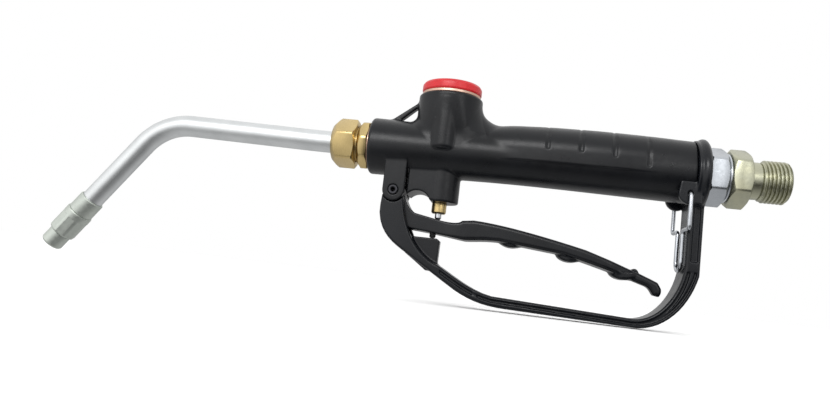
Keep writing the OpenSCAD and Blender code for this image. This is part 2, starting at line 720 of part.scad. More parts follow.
// Right half of the wire latch, on the positive side of the middle plane
module latch_half() {
    wide = ear_out + 0.35 + wire_r;
    narrow = 4.7;
    turn = 2;
    step_z = ear_z - 17;
    loop_z = ear_z - 36.5 + narrow;
    rod_y(ear_x, ear_z, ear_in - 0.8, wide - turn, wire_r);
    translate([ear_x, wide - turn, ear_z - turn]) wire_turn(turn, 0);
    translate([ear_x, wide, 0]) rod_z(step_z + turn, ear_z - turn, wire_r);
    translate([ear_x, wide - turn, step_z + turn]) wire_turn(turn, 270);
    rod_y(ear_x, step_z, narrow + turn, wide - turn, wire_r);
    translate([ear_x, narrow + turn, step_z - turn]) wire_turn(turn, 90);
    translate([ear_x, narrow, 0]) rod_z(loop_z, step_z - turn, wire_r);
    translate([ear_x, 0, loop_z]) wire_turn(narrow, 270);
}

// Quarter turn of wire in the Y-Z plane, starting at angle a from +Y towards +Z
module wire_turn(radius, a) rotate([a, 0, 0]) rotate([90, 0, 90]) rotate_extrude(angle = 90)
    translate([radius, 0]) circle(r = wire_r);

module wire_latch() color([0.8, 0.82, 0.84]) both_sides() latch_half();

body_casting();
guard_casting();
pivot_pin();
valve_seat();
top_plug();
plug_oring();
plug_cap();
rod_gland();
gland_oring();
outlet_adapter();
adapter_seal();
outlet_nut();
tube_ferrule();
spout_tube();
tip_collar();
tip_body();
tip_sleeve();
inlet_fitting();
fitting_seal();
swivel_stub();
swivel_washer();
swivel_oring_front();
swivel_oring_rear();
swivel_clip();
filter_ring();
filter_cone();
trigger_lever();
lever_bumper();
push_rod();
valve_poppet();
valve_disc();
valve_spring();
wire_latch();
tip_poppet();
tip_poppet_seal();
tip_spring();
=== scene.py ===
"""Looks of the manual oil-dispensing gun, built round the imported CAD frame.

Shapes are worked out in millimetres in the CAD's own frame and go to Blender in metres.
"""

import json
import math

import bmesh
import bpy
import numpy as np
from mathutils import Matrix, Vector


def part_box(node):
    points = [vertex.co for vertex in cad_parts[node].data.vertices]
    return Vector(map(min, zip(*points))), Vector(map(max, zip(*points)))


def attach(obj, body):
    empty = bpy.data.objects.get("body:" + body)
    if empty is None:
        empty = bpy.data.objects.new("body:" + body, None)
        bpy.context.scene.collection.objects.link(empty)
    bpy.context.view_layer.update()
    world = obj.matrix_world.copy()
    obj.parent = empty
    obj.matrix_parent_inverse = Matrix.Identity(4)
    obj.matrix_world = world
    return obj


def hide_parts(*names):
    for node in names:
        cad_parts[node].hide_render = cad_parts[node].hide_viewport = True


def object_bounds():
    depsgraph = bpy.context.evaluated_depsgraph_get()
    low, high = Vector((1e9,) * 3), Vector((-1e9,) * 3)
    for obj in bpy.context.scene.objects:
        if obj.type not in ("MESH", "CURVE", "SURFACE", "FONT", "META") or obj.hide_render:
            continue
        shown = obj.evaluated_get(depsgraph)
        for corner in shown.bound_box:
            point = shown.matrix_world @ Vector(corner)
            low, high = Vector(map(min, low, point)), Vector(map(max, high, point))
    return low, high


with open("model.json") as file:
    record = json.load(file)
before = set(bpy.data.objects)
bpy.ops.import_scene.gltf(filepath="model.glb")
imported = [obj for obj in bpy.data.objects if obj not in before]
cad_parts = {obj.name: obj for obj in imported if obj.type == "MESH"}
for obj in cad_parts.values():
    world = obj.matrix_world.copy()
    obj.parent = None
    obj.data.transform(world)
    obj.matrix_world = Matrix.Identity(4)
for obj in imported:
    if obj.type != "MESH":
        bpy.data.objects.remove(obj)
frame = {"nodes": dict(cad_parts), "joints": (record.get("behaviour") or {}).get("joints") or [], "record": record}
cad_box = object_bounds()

import openvdb
from mathutils import Vector

MM = 1000.0

# ---- where things are, in millimetres, from the frame ----


def span(node):
    """Lowest and highest corner of a CAD node in millimetres."""
    lo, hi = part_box(node)
    return np.array(lo) * MM, np.array(hi) * MM


X, Z = 0, 2


def reach(node, axis):
    """Lowest and highest coordinate of a CAD node along X or Z."""
    lo, hi = span(node)
    return lo[axis], hi[axis]


def middle(node):
    """Centre of a CAD node's box in millimetres."""
    lo, hi = span(node)
    return (lo + hi) / 2


def joint_point(name):
    """A joint's place in millimetres."""
    return np.array(next(j["pos_m"] for j in frame["joints"] if j["name"] == name)) * MM


def mount(name):
    """A mount's place in millimetres and its direction."""
    m = next(m for m in frame["record"]["mounts"] if m["name"] == name)
    return np.array(m["pos_m"]) * MM, np.array(m["axis"], float)


X_FRONT, X_BODY = reach("body_casting", X)
BODY_LOW, BOSS_TOP = reach("body_casting", Z)
BLOCK_BOTTOM = BODY_LOW + 2.3  # the pivot lugs reach this far below the valve block
VALVE_X = middle("rod_gland")[0]
PIVOT_X, _, PIVOT_Z = joint_point("lever_pivot")
EAR_X, _, EAR_Z = joint_point("latch_swing")
PALM_Z = 3.5  # centre line of the palm rest
PALM_LEDGE = -2.6  # its lower edge
REST_Z = -45.3  # top of the guard's front web, under the lever
PIN_BORE = 2.55  # radius of the pivot pin's holes
WIRE_BORE = 1.35  # radius of the latch's holes

# ---- points, loops and meshes ----


def bezier(a, b, c, d, n=8):
    """Points on a cubic Bezier curve after its first point."""
    t = np.linspace(0, 1, n + 1)[1:, None]
    s = 1 - t
    a, b, c, d = (np.array(p, float) for p in (a, b, c, d))
    return list(s**3 * a + 3 * s * s * t * b + 3 * s * t * t * c + t**3 * d)


def full_turn(count):
    """Equal steps round a circle, in radians."""
    return np.linspace(0, 2 * math.pi, count, endpoint=False)


def arc(centre, radius, start, end, n=16):
    """Points on an arc, angles in degrees."""
    angles = np.radians(np.linspace(start, end, n + 1))
    return [np.array([centre[0] + radius * math.cos(a), centre[1] + radius * math.sin(a)]) for a in angles]


def smooth_table(x, stations, values, reach):
    """Linear interpolation with its corners rounded over +-reach."""
    shifts = np.linspace(-reach, reach, 9)
    return sum(np.interp(x + s, stations, values) for s in shifts) / len(shifts)


def add_mesh(name, points, faces):
    """A mesh object from points in millimetres, with coincident points merged."""
    mesh = bpy.data.meshes.new(name)
    mesh.from_pydata((np.asarray(points, float) / MM).tolist(), [], [list(map(int, f)) for f in faces])
    bm = bmesh.new()
    bm.from_mesh(mesh)
    bmesh.ops.remove_doubles(bm, verts=bm.verts, dist=2e-6)
    bmesh.ops.recalc_face_normals(bm, faces=bm.faces)
    bm.to_mesh(mesh)
    bm.free()
    obj = bpy.data.objects.new(name, mesh)
    bpy.context.scene.collection.objects.link(obj)
    return obj


def finish_piece(obj, body, slot, nodes, sharp=38, finish=None):
    """Shades a piece, gives it the finish of its slot and ties it to its CAD body."""
    mesh = obj.data
    if sharp:
        mesh.shade_smooth()
        mesh.set_sharp_from_angle(angle=math.radians(sharp))
    mesh.materials.clear()
    mesh.materials.append(FINISH[finish or slot])
    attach(obj, body)
    if nodes:
        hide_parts(*nodes)


def loft(rings, closed=False):
    """Points and faces of a skin over rings of equal size. Open lofts are capped at both ends."""
    rings = np.asarray(rings, float)
    count, sides = rings.shape[:2]
    faces = []
    for i in range(count if closed else count - 1):
        j = (i + 1) % count
        for k in range(sides):
            k2 = (k + 1) % sides
            faces.append((i * sides + k, i * sides + k2, j * sides + k2, j * sides + k))
    if not closed:
        faces.append(tuple(range(sides - 1, -1, -1)))
        faces.append(tuple((count - 1) * sides + k for k in range(sides)))
    return rings.reshape(-1, 3), faces


def axes_for(direction):
    """Two unit vectors square to a direction; the first lies towards the near side."""
    d = np.array(direction, float)
    d /= np.linalg.norm(d)
    u = np.array([0.0, -1.0, 0.0])
    return d, u, np.cross(d, u)


def turned_ring(origin, direction, radius, station, angles):
    """One ring of a turned piece; radius and station may vary with the angle."""
    d, u, v = axes_for(direction)
    radius = np.broadcast_to(radius, angles.shape)[:, None]
    station = np.broadcast_to(station, angles.shape)[:, None]
    return origin + station * d + radius * (np.cos(angles)[:, None] * u + np.sin(angles)[:, None] * v)


def eased(profile, closed):
    """A profile of (radius, station, easing) with each corner broken by a small arc."""
    pts = [np.array(p[:2], float) for p in profile]
    ease = [p[2] if len(p) > 2 else 0.15 for p in profile]
    out = []
    for i, p in enumerate(pts):
        ends = not closed and i in (0, len(pts) - 1)
        if ends or ease[i] <= 0 or p[0] <= 0:
            out.append(p)
            continue
        a, b = pts[i - 1] - p, pts[(i + 1) % len(pts)] - p
        la, lb = np.linalg.norm(a), np.linalg.norm(b)
        a, b = a / la, b / lb
        half = math.acos(max(-1, min(1, float(a @ b)))) / 2
        if half > math.radians(85):
            out.append(p)
            continue
        reach = min(ease[i] / math.tan(half), 0.45 * la, 0.45 * lb)
        p0, p1 = p + a * reach, p + b * reach
        for t in np.linspace(0, 1, 5):
            out.append((1 - t) ** 2 * p0 + 2 * t * (1 - t) * p + t * t * p1)
    return out


def turned(name, profile, origin, direction, closed=True, sides=96):
    """A turned piece. A closed profile is a ring; an open one starts and ends on the axis."""
    angles = full_turn(sides)
    rings = [turned_ring(origin, direction, r, t, angles) for r, t in eased(profile, closed)]
    return add_mesh(name, *loft(rings, closed))


def flats_radius(angles, across_flats, sides, turn, corner_cut=0.25):
    """Distance from the axis to the sides of a bar with flats, its corners slightly broken."""
    step = 2 * math.pi / sides
    local = (angles - turn + step / 2) % step - step / 2
    full = across_flats / 2 / math.cos(step / 2)
    return np.minimum(across_flats / 2 / np.cos(local), full - corner_cut)


def flats_angles(sides, turn, per_side=18):
    """Angles round a bar with flats, closer together near the corners."""
    s = np.linspace(-1, 1, per_side, endpoint=False) + 1 / per_side
    s = np.sign(s) * (1 - (1 - np.abs(s)) ** 1.6)
    step = 2 * math.pi / sides
    return np.concatenate([turn + step * i + s * step / 2 for i in range(sides)])


def spanner_rings(origin, direction, across_flats, sides, turn, left, right):
    """Rings of the chamfered flats between two turned ends. left and right are
    (start radius, start station, full radius, full station) of each chamfer cone."""
    angles = flats_angles(sides, turn)
    flat = flats_radius(angles, across_flats, sides, turn)
    soft = 0.1

    def crossing(cone):
        r0, t0, r1, t1 = cone
        return t0 + (flat - r0) / (r1 - r0) * (t1 - t0)

    lt, rt = crossing(left), crossing(right)
    lk = (left[3] - left[1]) / (left[2] - left[0])
    rk = (right[3] - right[1]) / (right[2] - right[0])
    spots = [
        (left[0], left[1]),
        (flat - soft, lt - soft * lk),
        (flat, lt + soft * np.sign(right[1] - left[1])),
        (flat, rt - soft * np.sign(right[1] - left[1])),
        (flat - soft, rt - soft * rk),
        (right[0], right[1]),
    ]
    return angles, [turned_ring(origin, direction, r, t, angles) for r, t in spots]


def sweep_frames(path):
    """Tangents and carried-along side vectors of a path."""
    path = np.asarray(path, float)
    tangent = np.gradient(path, axis=0)
    tangent /= np.linalg.norm(tangent, axis=1)[:, None]
    side = np.cross(tangent[0], [0, 1, 0])
    if np.linalg.norm(side) < 0.1:
        side = np.cross(tangent[0], [1, 0, 0])
    sides = []
    for t in tangent:
        side = side - (side @ t) * t
        side = side / np.linalg.norm(side)
        sides.append(side)
    sides = np.array(sides)
    return tangent, sides, np.cross(tangent, sides)


def sweep_rings(path, radius, count):
    """Rings of a round bar along a path."""
    path = np.asarray(path, float)
    _, u, v = sweep_frames(path)
    angles = full_turn(count)
    radius = np.broadcast_to(radius, (len(path),))
    return [
        p + r * (np.cos(angles)[:, None] * a + np.sin(angles)[:, None] * b)
        for p, a, b, r in zip(path, u, v, radius)
    ]


def bent_path(corners, radius, spacing=0.5):
    """A path through corners, each rounded to a bend of that radius."""
    corners = [np.array(c, float) for c in corners]
    out = [corners[0]]
    for i in range(1, len(corners) - 1):
        p = corners[i]
        a, b = corners[i - 1] - p, corners[i + 1] - p
        la, lb = np.linalg.norm(a), np.linalg.norm(b)
        a, b = a / la, b / lb
        half = math.acos(float(np.clip(a @ b, -1, 1))) / 2
        reach = radius / math.tan(half)
        centre = p + (a + b) / np.linalg.norm(a + b) * radius / math.sin(half)
        p0, p1 = p + a * reach, p + b * reach
        e0, e1 = p0 - centre, p1 - centre
        total = math.acos(float(np.clip(e0 @ e1 / radius**2, -1, 1)))
        for t in np.linspace(0, 1, max(6, int(total * radius / spacing))):
            out.append(centre + (math.sin((1 - t) * total) * e0 + math.sin(t * total) * e1) / math.sin(total))
    out.append(corners[-1])
    return np.array(out)


# ---- castings as distance fields ----


class Grid:
    """Regular sample points in millimetres."""

    def __init__(self, lo, hi, step):
        self.lo, self.step = np.array(lo, float), step
        n = np.ceil((np.array(hi) - self.lo) / step).astype(int) + 1
        at = [(self.lo[i] + step * np.arange(n[i])).astype(np.float32) for i in range(3)]
        self.x, self.y, self.z = at[0][:, None, None], at[1][None, :, None], at[2][None, None, :]
        self.side = np.abs(self.y)


def join(a, b, fillet=0.0):
    """Union of two fields with a round fillet in the corner between them."""
    if np.max(fillet) <= 0:
        return np.minimum(a, b)
    u, v = np.maximum(fillet - a, 0), np.maximum(fillet - b, 0)
    return np.maximum(fillet, np.minimum(a, b)) - np.sqrt(u * u + v * v)


def meet(a, b, easing=0.0):
    """Intersection of two fields with a rounded edge."""
    return -join(-a, -b, easing)


def cut(a, b, easing=0.0):
    """The first field with the second taken out."""
    return meet(a, -b, easing)


def from_line(grid, x, z):
    """Distance to a line along Y."""
    return np.sqrt((grid.x - x) ** 2 + (grid.z - z) ** 2)


def from_axis(grid):
    """Distance to the barrel's axis."""
    return np.sqrt(grid.y * grid.y + grid.z * grid.z)


def from_valve(grid):
    """Distance to the valve's upright axis."""
    return np.sqrt((grid.x - VALVE_X) ** 2 + grid.y * grid.y)


def slab(v, lo, hi):
    """Field of the space between two parallel planes."""
    return np.abs(v - (lo + hi) / 2) - (hi - lo) / 2


def plane_points(grid):
    """X down and Z across a grid's middle plane."""
    return grid.x[:, 0, 0][:, None], grid.z[0, 0, :][None, :]


def nearest_stretch(grid, pairs):
    """Squared distance in X and Z to the nearest straight stretch between two points."""
    px, pz = plane_points(grid)
    best = np.full((px.shape[0], pz.shape[1]), 1e9, np.float32)
    for a, b in pairs:
        e = b - a
        length = float(e @ e)
        if length < 1e-9:
            continue
        wx, wz = px - a[0], pz - a[1]
        t = np.clip((wx * e[0] + wz * e[1]) / length, 0, 1)
        best = np.minimum(best, (wx - e[0] * t) ** 2 + (wz - e[1] * t) ** 2)
    return best


def outline_field(grid, outline):
    """Distance to a closed outline in X and Z, negative inside."""
    px, pz = plane_points(grid)
    pts = [np.asarray(p, float) for p in outline]
    pairs = list(zip(pts, pts[1:] + pts[:1]))
    best = nearest_stretch(grid, pairs)
    inside = np.zeros(best.shape, bool)
    for a, b in pairs:
        e = b - a
        if e[1] and float(e @ e) >= 1e-9:
            crosses = (a[1] <= pz) != (b[1] <= pz)
            inside ^= crosses & (px < a[0] + (pz - a[1]) / e[1] * e[0])
    return (np.where(inside, -1, 1) * np.sqrt(best))[:, None, :].astype(np.float32)


def line_field(grid, points):
    """Distance to an open line in X and Z."""
    pts = [np.asarray(p, float) for p in points]
    return np.sqrt(nearest_stretch(grid, zip(pts, pts[1:])))[:, None, :]


def read_field(field, grid, points):
    """Trilinear reading of a field at points."""
    p = (points - grid.lo) / grid.step
    base = np.clip(np.floor(p).astype(int), 0, np.array(field.shape) - 2)
    f = p - base
    total = 0
    for dx in (0, 1):
        for dy in (0, 1):
            for dz in (0, 1):
                weight = (
                    (f[:, 0] if dx else 1 - f[:, 0])
                    * (f[:, 1] if dy else 1 - f[:, 1])
                    * (f[:, 2] if dz else 1 - f[:, 2])
                )
                total = total + weight * field[base[:, 0] + dx, base[:, 1] + dy, base[:, 2] + dz]
    return total


def field_slope(field, grid, points):
    """Gradient of a field at points."""
    out = np.zeros_like(points)
    for axis in range(3):
        step = np.zeros(3)
        step[axis] = 0.7 * grid.step
        out[:, axis] = read_field(field, grid, points + step) - read_field(field, grid, points - step)
    return out / (1.4 * grid.step)


def cast_piece(name, field, grid, most_triangles=170000):
    """A mesh object over a field's zero surface, with the field's own normals."""
    field = np.clip(field, -4 * grid.step, 4 * grid.step).astype(np.float32)
    vdb = openvdb.FloatGrid(4 * grid.step)
    vdb.copyFromArray(np.ascontiguousarray(field))
    points, triangles, quads = vdb.convertToPolygons(isovalue=0.0, adaptivity=0.0)
    points = points.astype(float) * grid.step + grid.lo
    for _ in range(2):
        slope = field_slope(field, grid, points)
        size = np.maximum((slope * slope).sum(1), 0.25)
        points -= slope * (read_field(field, grid, points) / size)[:, None]
    obj = add_mesh(name, points, [*triangles.tolist(), *quads.tolist()])
    count = 2 * len(quads) + len(triangles)
    if count > most_triangles:
        modifier = obj.modifiers.new("thin", "DECIMATE")
        modifier.ratio = most_triangles / count
        graph = bpy.context.evaluated_depsgraph_get()
        thin = bpy.data.meshes.new_from_object(obj.evaluated_get(graph))
        obj.modifiers.clear()
        obj.data = thin
    mesh = obj.data
    mesh.shade_smooth()
    co = np.zeros(len(mesh.vertices) * 3)
    mesh.vertices.foreach_get("co", co)
    slope = field_slope(field, grid, co.reshape(-1, 3) * MM)
    slope /= np.maximum(np.linalg.norm(slope, axis=1), 1e-6)[:, None]
    mesh.normals_split_custom_set_from_vertices(slope.tolist())
    return obj


def palm_radius(grid):
    """Distance that runs round the palm rest: round on top, and upright at its sides."""
    z = grid.z
    drop = np.where(z > PALM_Z, z - PALM_Z, 0.3 * (z - PALM_Z))
    return np.sqrt(grid.y * grid.y + drop * drop)


def grip_field(grid):
    """Tapered barrel, and the palm rest on it that ends in a small ledge."""
    x = grid.x
    stations = [X_FRONT, X_FRONT + 51, X_FRONT + 70, X_BODY - 68, X_BODY]
    barrel = from_axis(grid) - smooth_table(x, stations, [14.9, 13.6, 13.3, 13.4, 14.5], 12)
    barrel = meet(barrel, X_FRONT - x, 1.8)
    stations = [X_BODY - s for s in (101, 92, 70, 45, 20, 0)]
    palm = palm_radius(grid) - smooth_table(x, stations, [11.6, 13.4, 14.3, 14.5, 14.0, 13.2], 6)
    palm = meet(meet(palm, PALM_LEDGE - grid.z, 0.5), X_BODY - 104 - x, 3.5)
    return meet(join(barrel, palm, 0.35), x - X_BODY, 0.3)


def cut_grooves(grid, field):
    """Grooves over the palm rest, each ending at its own foot and shallower at the top."""
    first, pitch, groove_r, feet = 22.6, 16.2, 1.3, (-0.6, 2.7, 3.8, 3.8, 4.4)
    depth = np.interp(grid.z - PALM_Z, [9, 13.5], [0.0, 0.45]).astype(np.float32)
    palm_r = palm_radius(grid)
    for i, foot in enumerate(feet):
        groove = np.sqrt((palm_r - 14.95) ** 2 + (grid.x - (X_BODY - first - pitch * i)) ** 2) - groove_r
        field = cut(field, meet(groove + depth, foot - grid.z, 1.0), 0.35)
    return field


def add_boss(grid, field):
    """Valve boss, drawn in at its sides, with its rear fillet and a rounded rib on each side."""
    x, z, side = grid.x, grid.z, grid.side
    boss = meet(from_valve(grid) - 16.7, slab(z, -3, BOSS_TOP), 1.1)
    drawn_in = side - smooth_table(z, [-3, 8, 23.5, BOSS_TOP], [12.8, 13.4, 17.4, 19], 2.5)
    boss = meet(boss, drawn_in, 2.5)
    fillet = np.interp(x, [VALVE_X - 14, VALVE_X + 6], [4.0, 13.0]).astype(np.float32)
    crown = np.clip(1 - (side / 14.5) ** 2, 0, 1) * np.clip((z - 2) / 8, 0, 1)
    field = join(field, boss, 1.0 + (fillet - 1.0) * crown)
    rib = np.sqrt((x - VALVE_X + 0.8) ** 2 + (side - 9.0) ** 2) - 7.3
    return join(field, meet(rib, slab(z, -0.9, BOSS_TOP - 1.5), 2.2), 0.7)


def block_field(grid):
    """Valve block with a round rear and an arch through its front corner."""
    box = meet(slab(grid.x, VALVE_X - 16.7, VALVE_X), slab(grid.side, -9.2, 9.2), 0.7)
    rear = meet(from_valve(grid) - 9.5, VALVE_X - 4 - grid.x, 0)
    block = meet(np.minimum(box, rear), slab(grid.z, BLOCK_BOTTOM, -2), 1.0)
    return cut(block, from_line(grid, VALVE_X - 10.9, BLOCK_BOTTOM - 2.4) - 6.9, 0.7)


def lugs_field(grid):
    """Two flat lugs that hold the pivot pin."""
    side, top = grid.side, grid.z + 6.0
    lug = np.where(grid.z > PIVOT_Z, np.abs(grid.x - PIVOT_X) - 5.6, from_line(grid, PIVOT_X, PIVOT_Z) - 5.6)
    lug = meet(lug, meet(slab(side, 7.0, 12.3), top, 0.3), 0.5)
    return meet(meet(lug, 9.2 - side, 0.0), top, 0.2)


def cut_bores(grid, field):
    """Bores of the inlet, the flow, the valve, the gland, the outlet and the pivot pin."""
    x, y, z = grid.x, grid.y, grid.z
    axis_r, valve_r = from_axis(grid), from_valve(grid)
    field = cut(field, meet(axis_r - 8.6, X_BODY - 17.8 - x, 0.3), 0.3)
    flow = np.sqrt(y * y + (z - 3.5) ** 2) - 4.8
    field = cut(field, meet(flow, slab(x, VALVE_X + 8, X_BODY - 17), 0.3))
    field = cut(field, meet(valve_r - 13.05, 15 - z, 0.3), 0.4)
    for radius, low, high in ((10.3, -0.7, 16), (9.05, -5.0, 1), (6.0, -17, -4)):
        field = cut(field, meet(valve_r - radius, slab(z, low, high)))
    field = cut(field, meet(valve_r - 3.1, z + 16), 0.3)
    field = cut(field, meet(axis_r - 8.1, x - (X_FRONT + 14.5)), 0.4)
    return cut(field, from_line(grid, PIVOT_X, PIVOT_Z) - PIN_BORE, 0.35)


def body_field(grid):
    """The grip body: barrel, palm rest, valve boss, valve block, pivot lugs and hanging bar."""
    field = add_boss(grid, cut_grooves(grid, grip_field(grid)))
    field = join(field, block_field(grid), 0.9)
    field = join(field, lugs_field(grid), 0.5)
    bar = [(VALVE_X - 32.5, 12.5), (VALVE_X - 15, 26.1), (VALVE_X - 15, 23.6), (VALVE_X - 27.3, 12.5)]
    field = join(field, meet(outline_field(grid, bar), slab(grid.side, -2.6, 2.6), 0.8), 1.0)
    return cut_bores(grid, field)


def guard_outline():
    """Hoop of the hand guard, round the outside and back along the inside."""
    return arc((PIVOT_X, PIVOT_Z), 5.4, 0, 180) + guard_outer() + guard_inner()


def guard_outer():
    """Outer edge of the hoop, from the front arm down, back and up to the ring."""
    f, b = X_FRONT, X_BODY
    return (
        [(PIVOT_X - 5.9, -31)]
        + bezier((f + 9.9, -31), (f + 10, -44), (f + 17, -49), (f + 23.2, -52.8))
        + bezier((f + 48, -67.8), (f + 58, -74), (f + 66, -76.3), (f + 78, -76.5))
        + bezier((b - 24, -78.05), (b - 7.5, -78.3), (b + 2.5, -64), (b + 5.9, -50), 14)
        + [(b + 5.95, -14), (b - 1.1, -14)]
    )


def guard_inner():
    """Inner edge of the hoop, from the top of the rear arm down and forwards."""
    f, b = X_FRONT, X_BODY
    return (
        [(b - 1.1, -46)]
        + bezier((b - 1.1, -46), (b - 2.5, -60), (b - 11.5, -73.4), (b - 23.5, -73.6), 14)
        + bezier((f + 75, -71.4), (f + 63, -71), (f + 54, -65), (f + 43.2, -59))
        + bezier((f + 43.2, -59), (f + 32, -55.5), (f + 24, -44), (f + 21.6, -28), 12)
    )


def guard_field(grid):
    """The hand guard: hoop, front web, ears and the ring round the inlet."""
    x, z, side = grid.x, grid.z, grid.side
    f, b = X_FRONT, X_BODY
    width = smooth_table(x, [f + 28, f + 76], [11.0, 8.0], 8)
    hoop = meet(outline_field(grid, guard_outline()), side - width, 1.3)
    slot = [(PIVOT_X - 4.95, PIVOT_Z), (f + 12.9, -34), (f + 16, -41.5), (f + 19, REST_Z)]
    slot += [(f + 50, REST_Z), (f + 50, -10), (PIVOT_X - 4.95, -10)]
    field = cut(hoop, meet(outline_field(grid, slot), side - 7.1, 0.5), 0.4)
    web = [(f + 25, REST_Z), (f + 40.2, REST_Z), (f + 41.8, REST_Z - 1.2), (f + 41.6, -57.5)]
    web += [(f + 43.5, -61), (f + 36, -62), (f + 25, -54)]
    field = join(field, meet(outline_field(grid, web), side - 3.5, 0.5), 1.2)
    field = guard_channels(grid, field, width)
    ear_r = from_line(grid, EAR_X, EAR_Z)
    ear = [(EAR_X, EAR_Z - 5.4), (EAR_X + 2.7, EAR_Z - 4.7), (b + 3, -16.5), (b + 3, -5.4)]
    ear += [(EAR_X - 4.6, -5.4), (EAR_X - 5.4, EAR_Z)]
    ear = np.minimum(ear_r - 5.4, outline_field(grid, ear))
    field = join(field, meet(ear, slab(side, 11.4, 14.4), 0.6), 0.8)
    ring_x = [b, b + 0.9, b + 1.8, b + 2.6, b + 3.6, b + 4.6, b + 6.1]
    ring_r = smooth_table(x, ring_x, [17.3, 17.2, 17.1, 17.9, 18.25, 18.2, 16.9], 0.3)
    axis_r = from_axis(grid)
    ring = meet(axis_r - ring_r, slab(x, b + 0.1, b + 6.1), 0.7)
    field = join(field, ring, 1.0)
    # Room for the barrel, the fitting's thread and the pivot lugs
    field = cut(field, meet(axis_r - 14.75, slab(x, b - 20, b + 0.05)), 0.2)
    field = cut(field, axis_r - 8.7, 0.3)
    pin_r = from_line(grid, PIVOT_X, PIVOT_Z)
    lug_room = np.where(z > PIVOT_Z, np.abs(x - PIVOT_X) - 6.4, pin_r - 5.95)
    field = cut(field, meet(lug_room, 8.9 - side), 0.25)
    field = cut(field, pin_r - PIN_BORE, 0.2)
    return cut(field, meet(ear_r - WIRE_BORE, 10 - side), 0.25)


def guard_channels(grid, field, width):
    """Recesses in both faces of the hoop: grooves along its edges and a channel up the rear arm."""
    x, z, side = grid.x, grid.z, grid.side
    b = X_BODY
    inner = line_field(grid, guard_inner())
    outer = line_field(grid, guard_outer())
    hoop_x = slab(x, X_FRONT + 44, b + 10)
    recess_depth = 1.1
    recess = width - recess_depth - side
    groove = meet(slab(inner, 1.5, 2.9), hoop_x)
    groove = meet(groove, z + 48.5)
    field = cut(field, meet(groove, recess, 0.2), 0.3)
    corner = meet(slab(outer, 1.5, 2.7), meet(slab(x, b - 20, b + 10), slab(z, -90, -48.5)))
    field = cut(field, meet(corner, recess, 0.2), 0.3)
    channel = meet(slab(x, b + 1.2, b + 4.3), slab(z, -43.4, -16))
    field = cut(field, meet(channel, recess, 0.3), 0.4)
    for px, pz, r in ((b + 2.4, -45.9, 2.0), (X_FRONT + 62.6, -70.6, 1.5)):
        pad = from_line(grid, px, pz) - r
        field = join(field, meet(pad, side - (width - 0.2), 0.4), 0.4)
    return field


def lever_outline():
    """Lever from its root round the pin, along the handle to the curled tail and back."""
    f = X_FRONT
    return (
        arc((PIVOT_X, PIVOT_Z), 4.6, 30, 200)
        + [(PIVOT_X - 1.9, -31), (f + 19.4, -38.5), (f + 26, -41.8), (f + 37, -42.7)]
        + bezier((f + 52, -44.8), (f + 58, -45), (f + 62, -43.4), (f + 72, -43.6))
        + bezier((f + 95, -44.8), (f + 118, -49.5), (f + 132, -53.6), (f + 144.5, -57.4))
        + bezier((f + 144.5, -57.4), (f + 146.5, -58.2), (f + 147, -60), (f + 148.2, -61.3), 6)
        + bezier((f + 150.5, -62.3), (f + 152, -61), (f + 152.3, -59), (f + 151.8, -57.6), 8)
        + bezier((f + 151, -55.4), (f + 149.5, -54.6), (f + 147, -53.6), (f + 140.2, -51.1), 6)
        + bezier((f + 122, -44.8), (f + 90, -37.5), (f + 70, -34.7), (f + 58, -34.3), 12)
        + bezier((f + 52.5, -34.2), (f + 52.5, -36.9), (f + 47, -37), (f + 41.2, -36.1), 8)
        + bezier((f + 30, -34.4), (f + 23.6, -32.8), (f + 22, -27), (PIVOT_X + 4, PIVOT_Z + 2.3), 8)
    )


def lever_field(grid):
    """The lever with its finger ridges and the nub that the latch catches."""
    x, y, z, side = grid.x, grid.y, grid.z, grid.side
    f, b = X_FRONT, X_BODY
    width = smooth_table(x, [f + 42, f + 50, b - 36, b - 25], [6.8, 7.5, 7.5, 3.3], 2.5)
    ease = np.interp(x, [f + 40, f + 56], [0.7, 1.9]).astype(np.float32)
    field = meet(outline_field(grid, lever_outline()), side - width, ease)
    for px, pz in ((f + 77.8, -43.2), (f + 107, -47.2), (f + 133, -52.9)):
        ridge = np.sqrt((x - px) ** 2 + (z - pz - 9.4) ** 2) - 12.0
        ridge = meet(ridge, np.sqrt((x - px) ** 2 * 0.6 + y * y) - 5.6, 1.5)
        field = join(field, meet(ridge, z - (pz + 1)), 1.0)
    nub = from_line(grid, f + 138.8, -51.2) - 1.9
    field = join(field, meet(nub, side - 1.6, 0.5), 0.8)
    field = cut(field, from_line(grid, PIVOT_X, PIVOT_Z) - 2.6, 0.2)
    hole = np.sqrt((x - (f + 37.5)) ** 2 + y * y) - 1.68
    return cut(field, meet(hole, slab(z, -48, -39)), 0.2)


# ---- materials ----


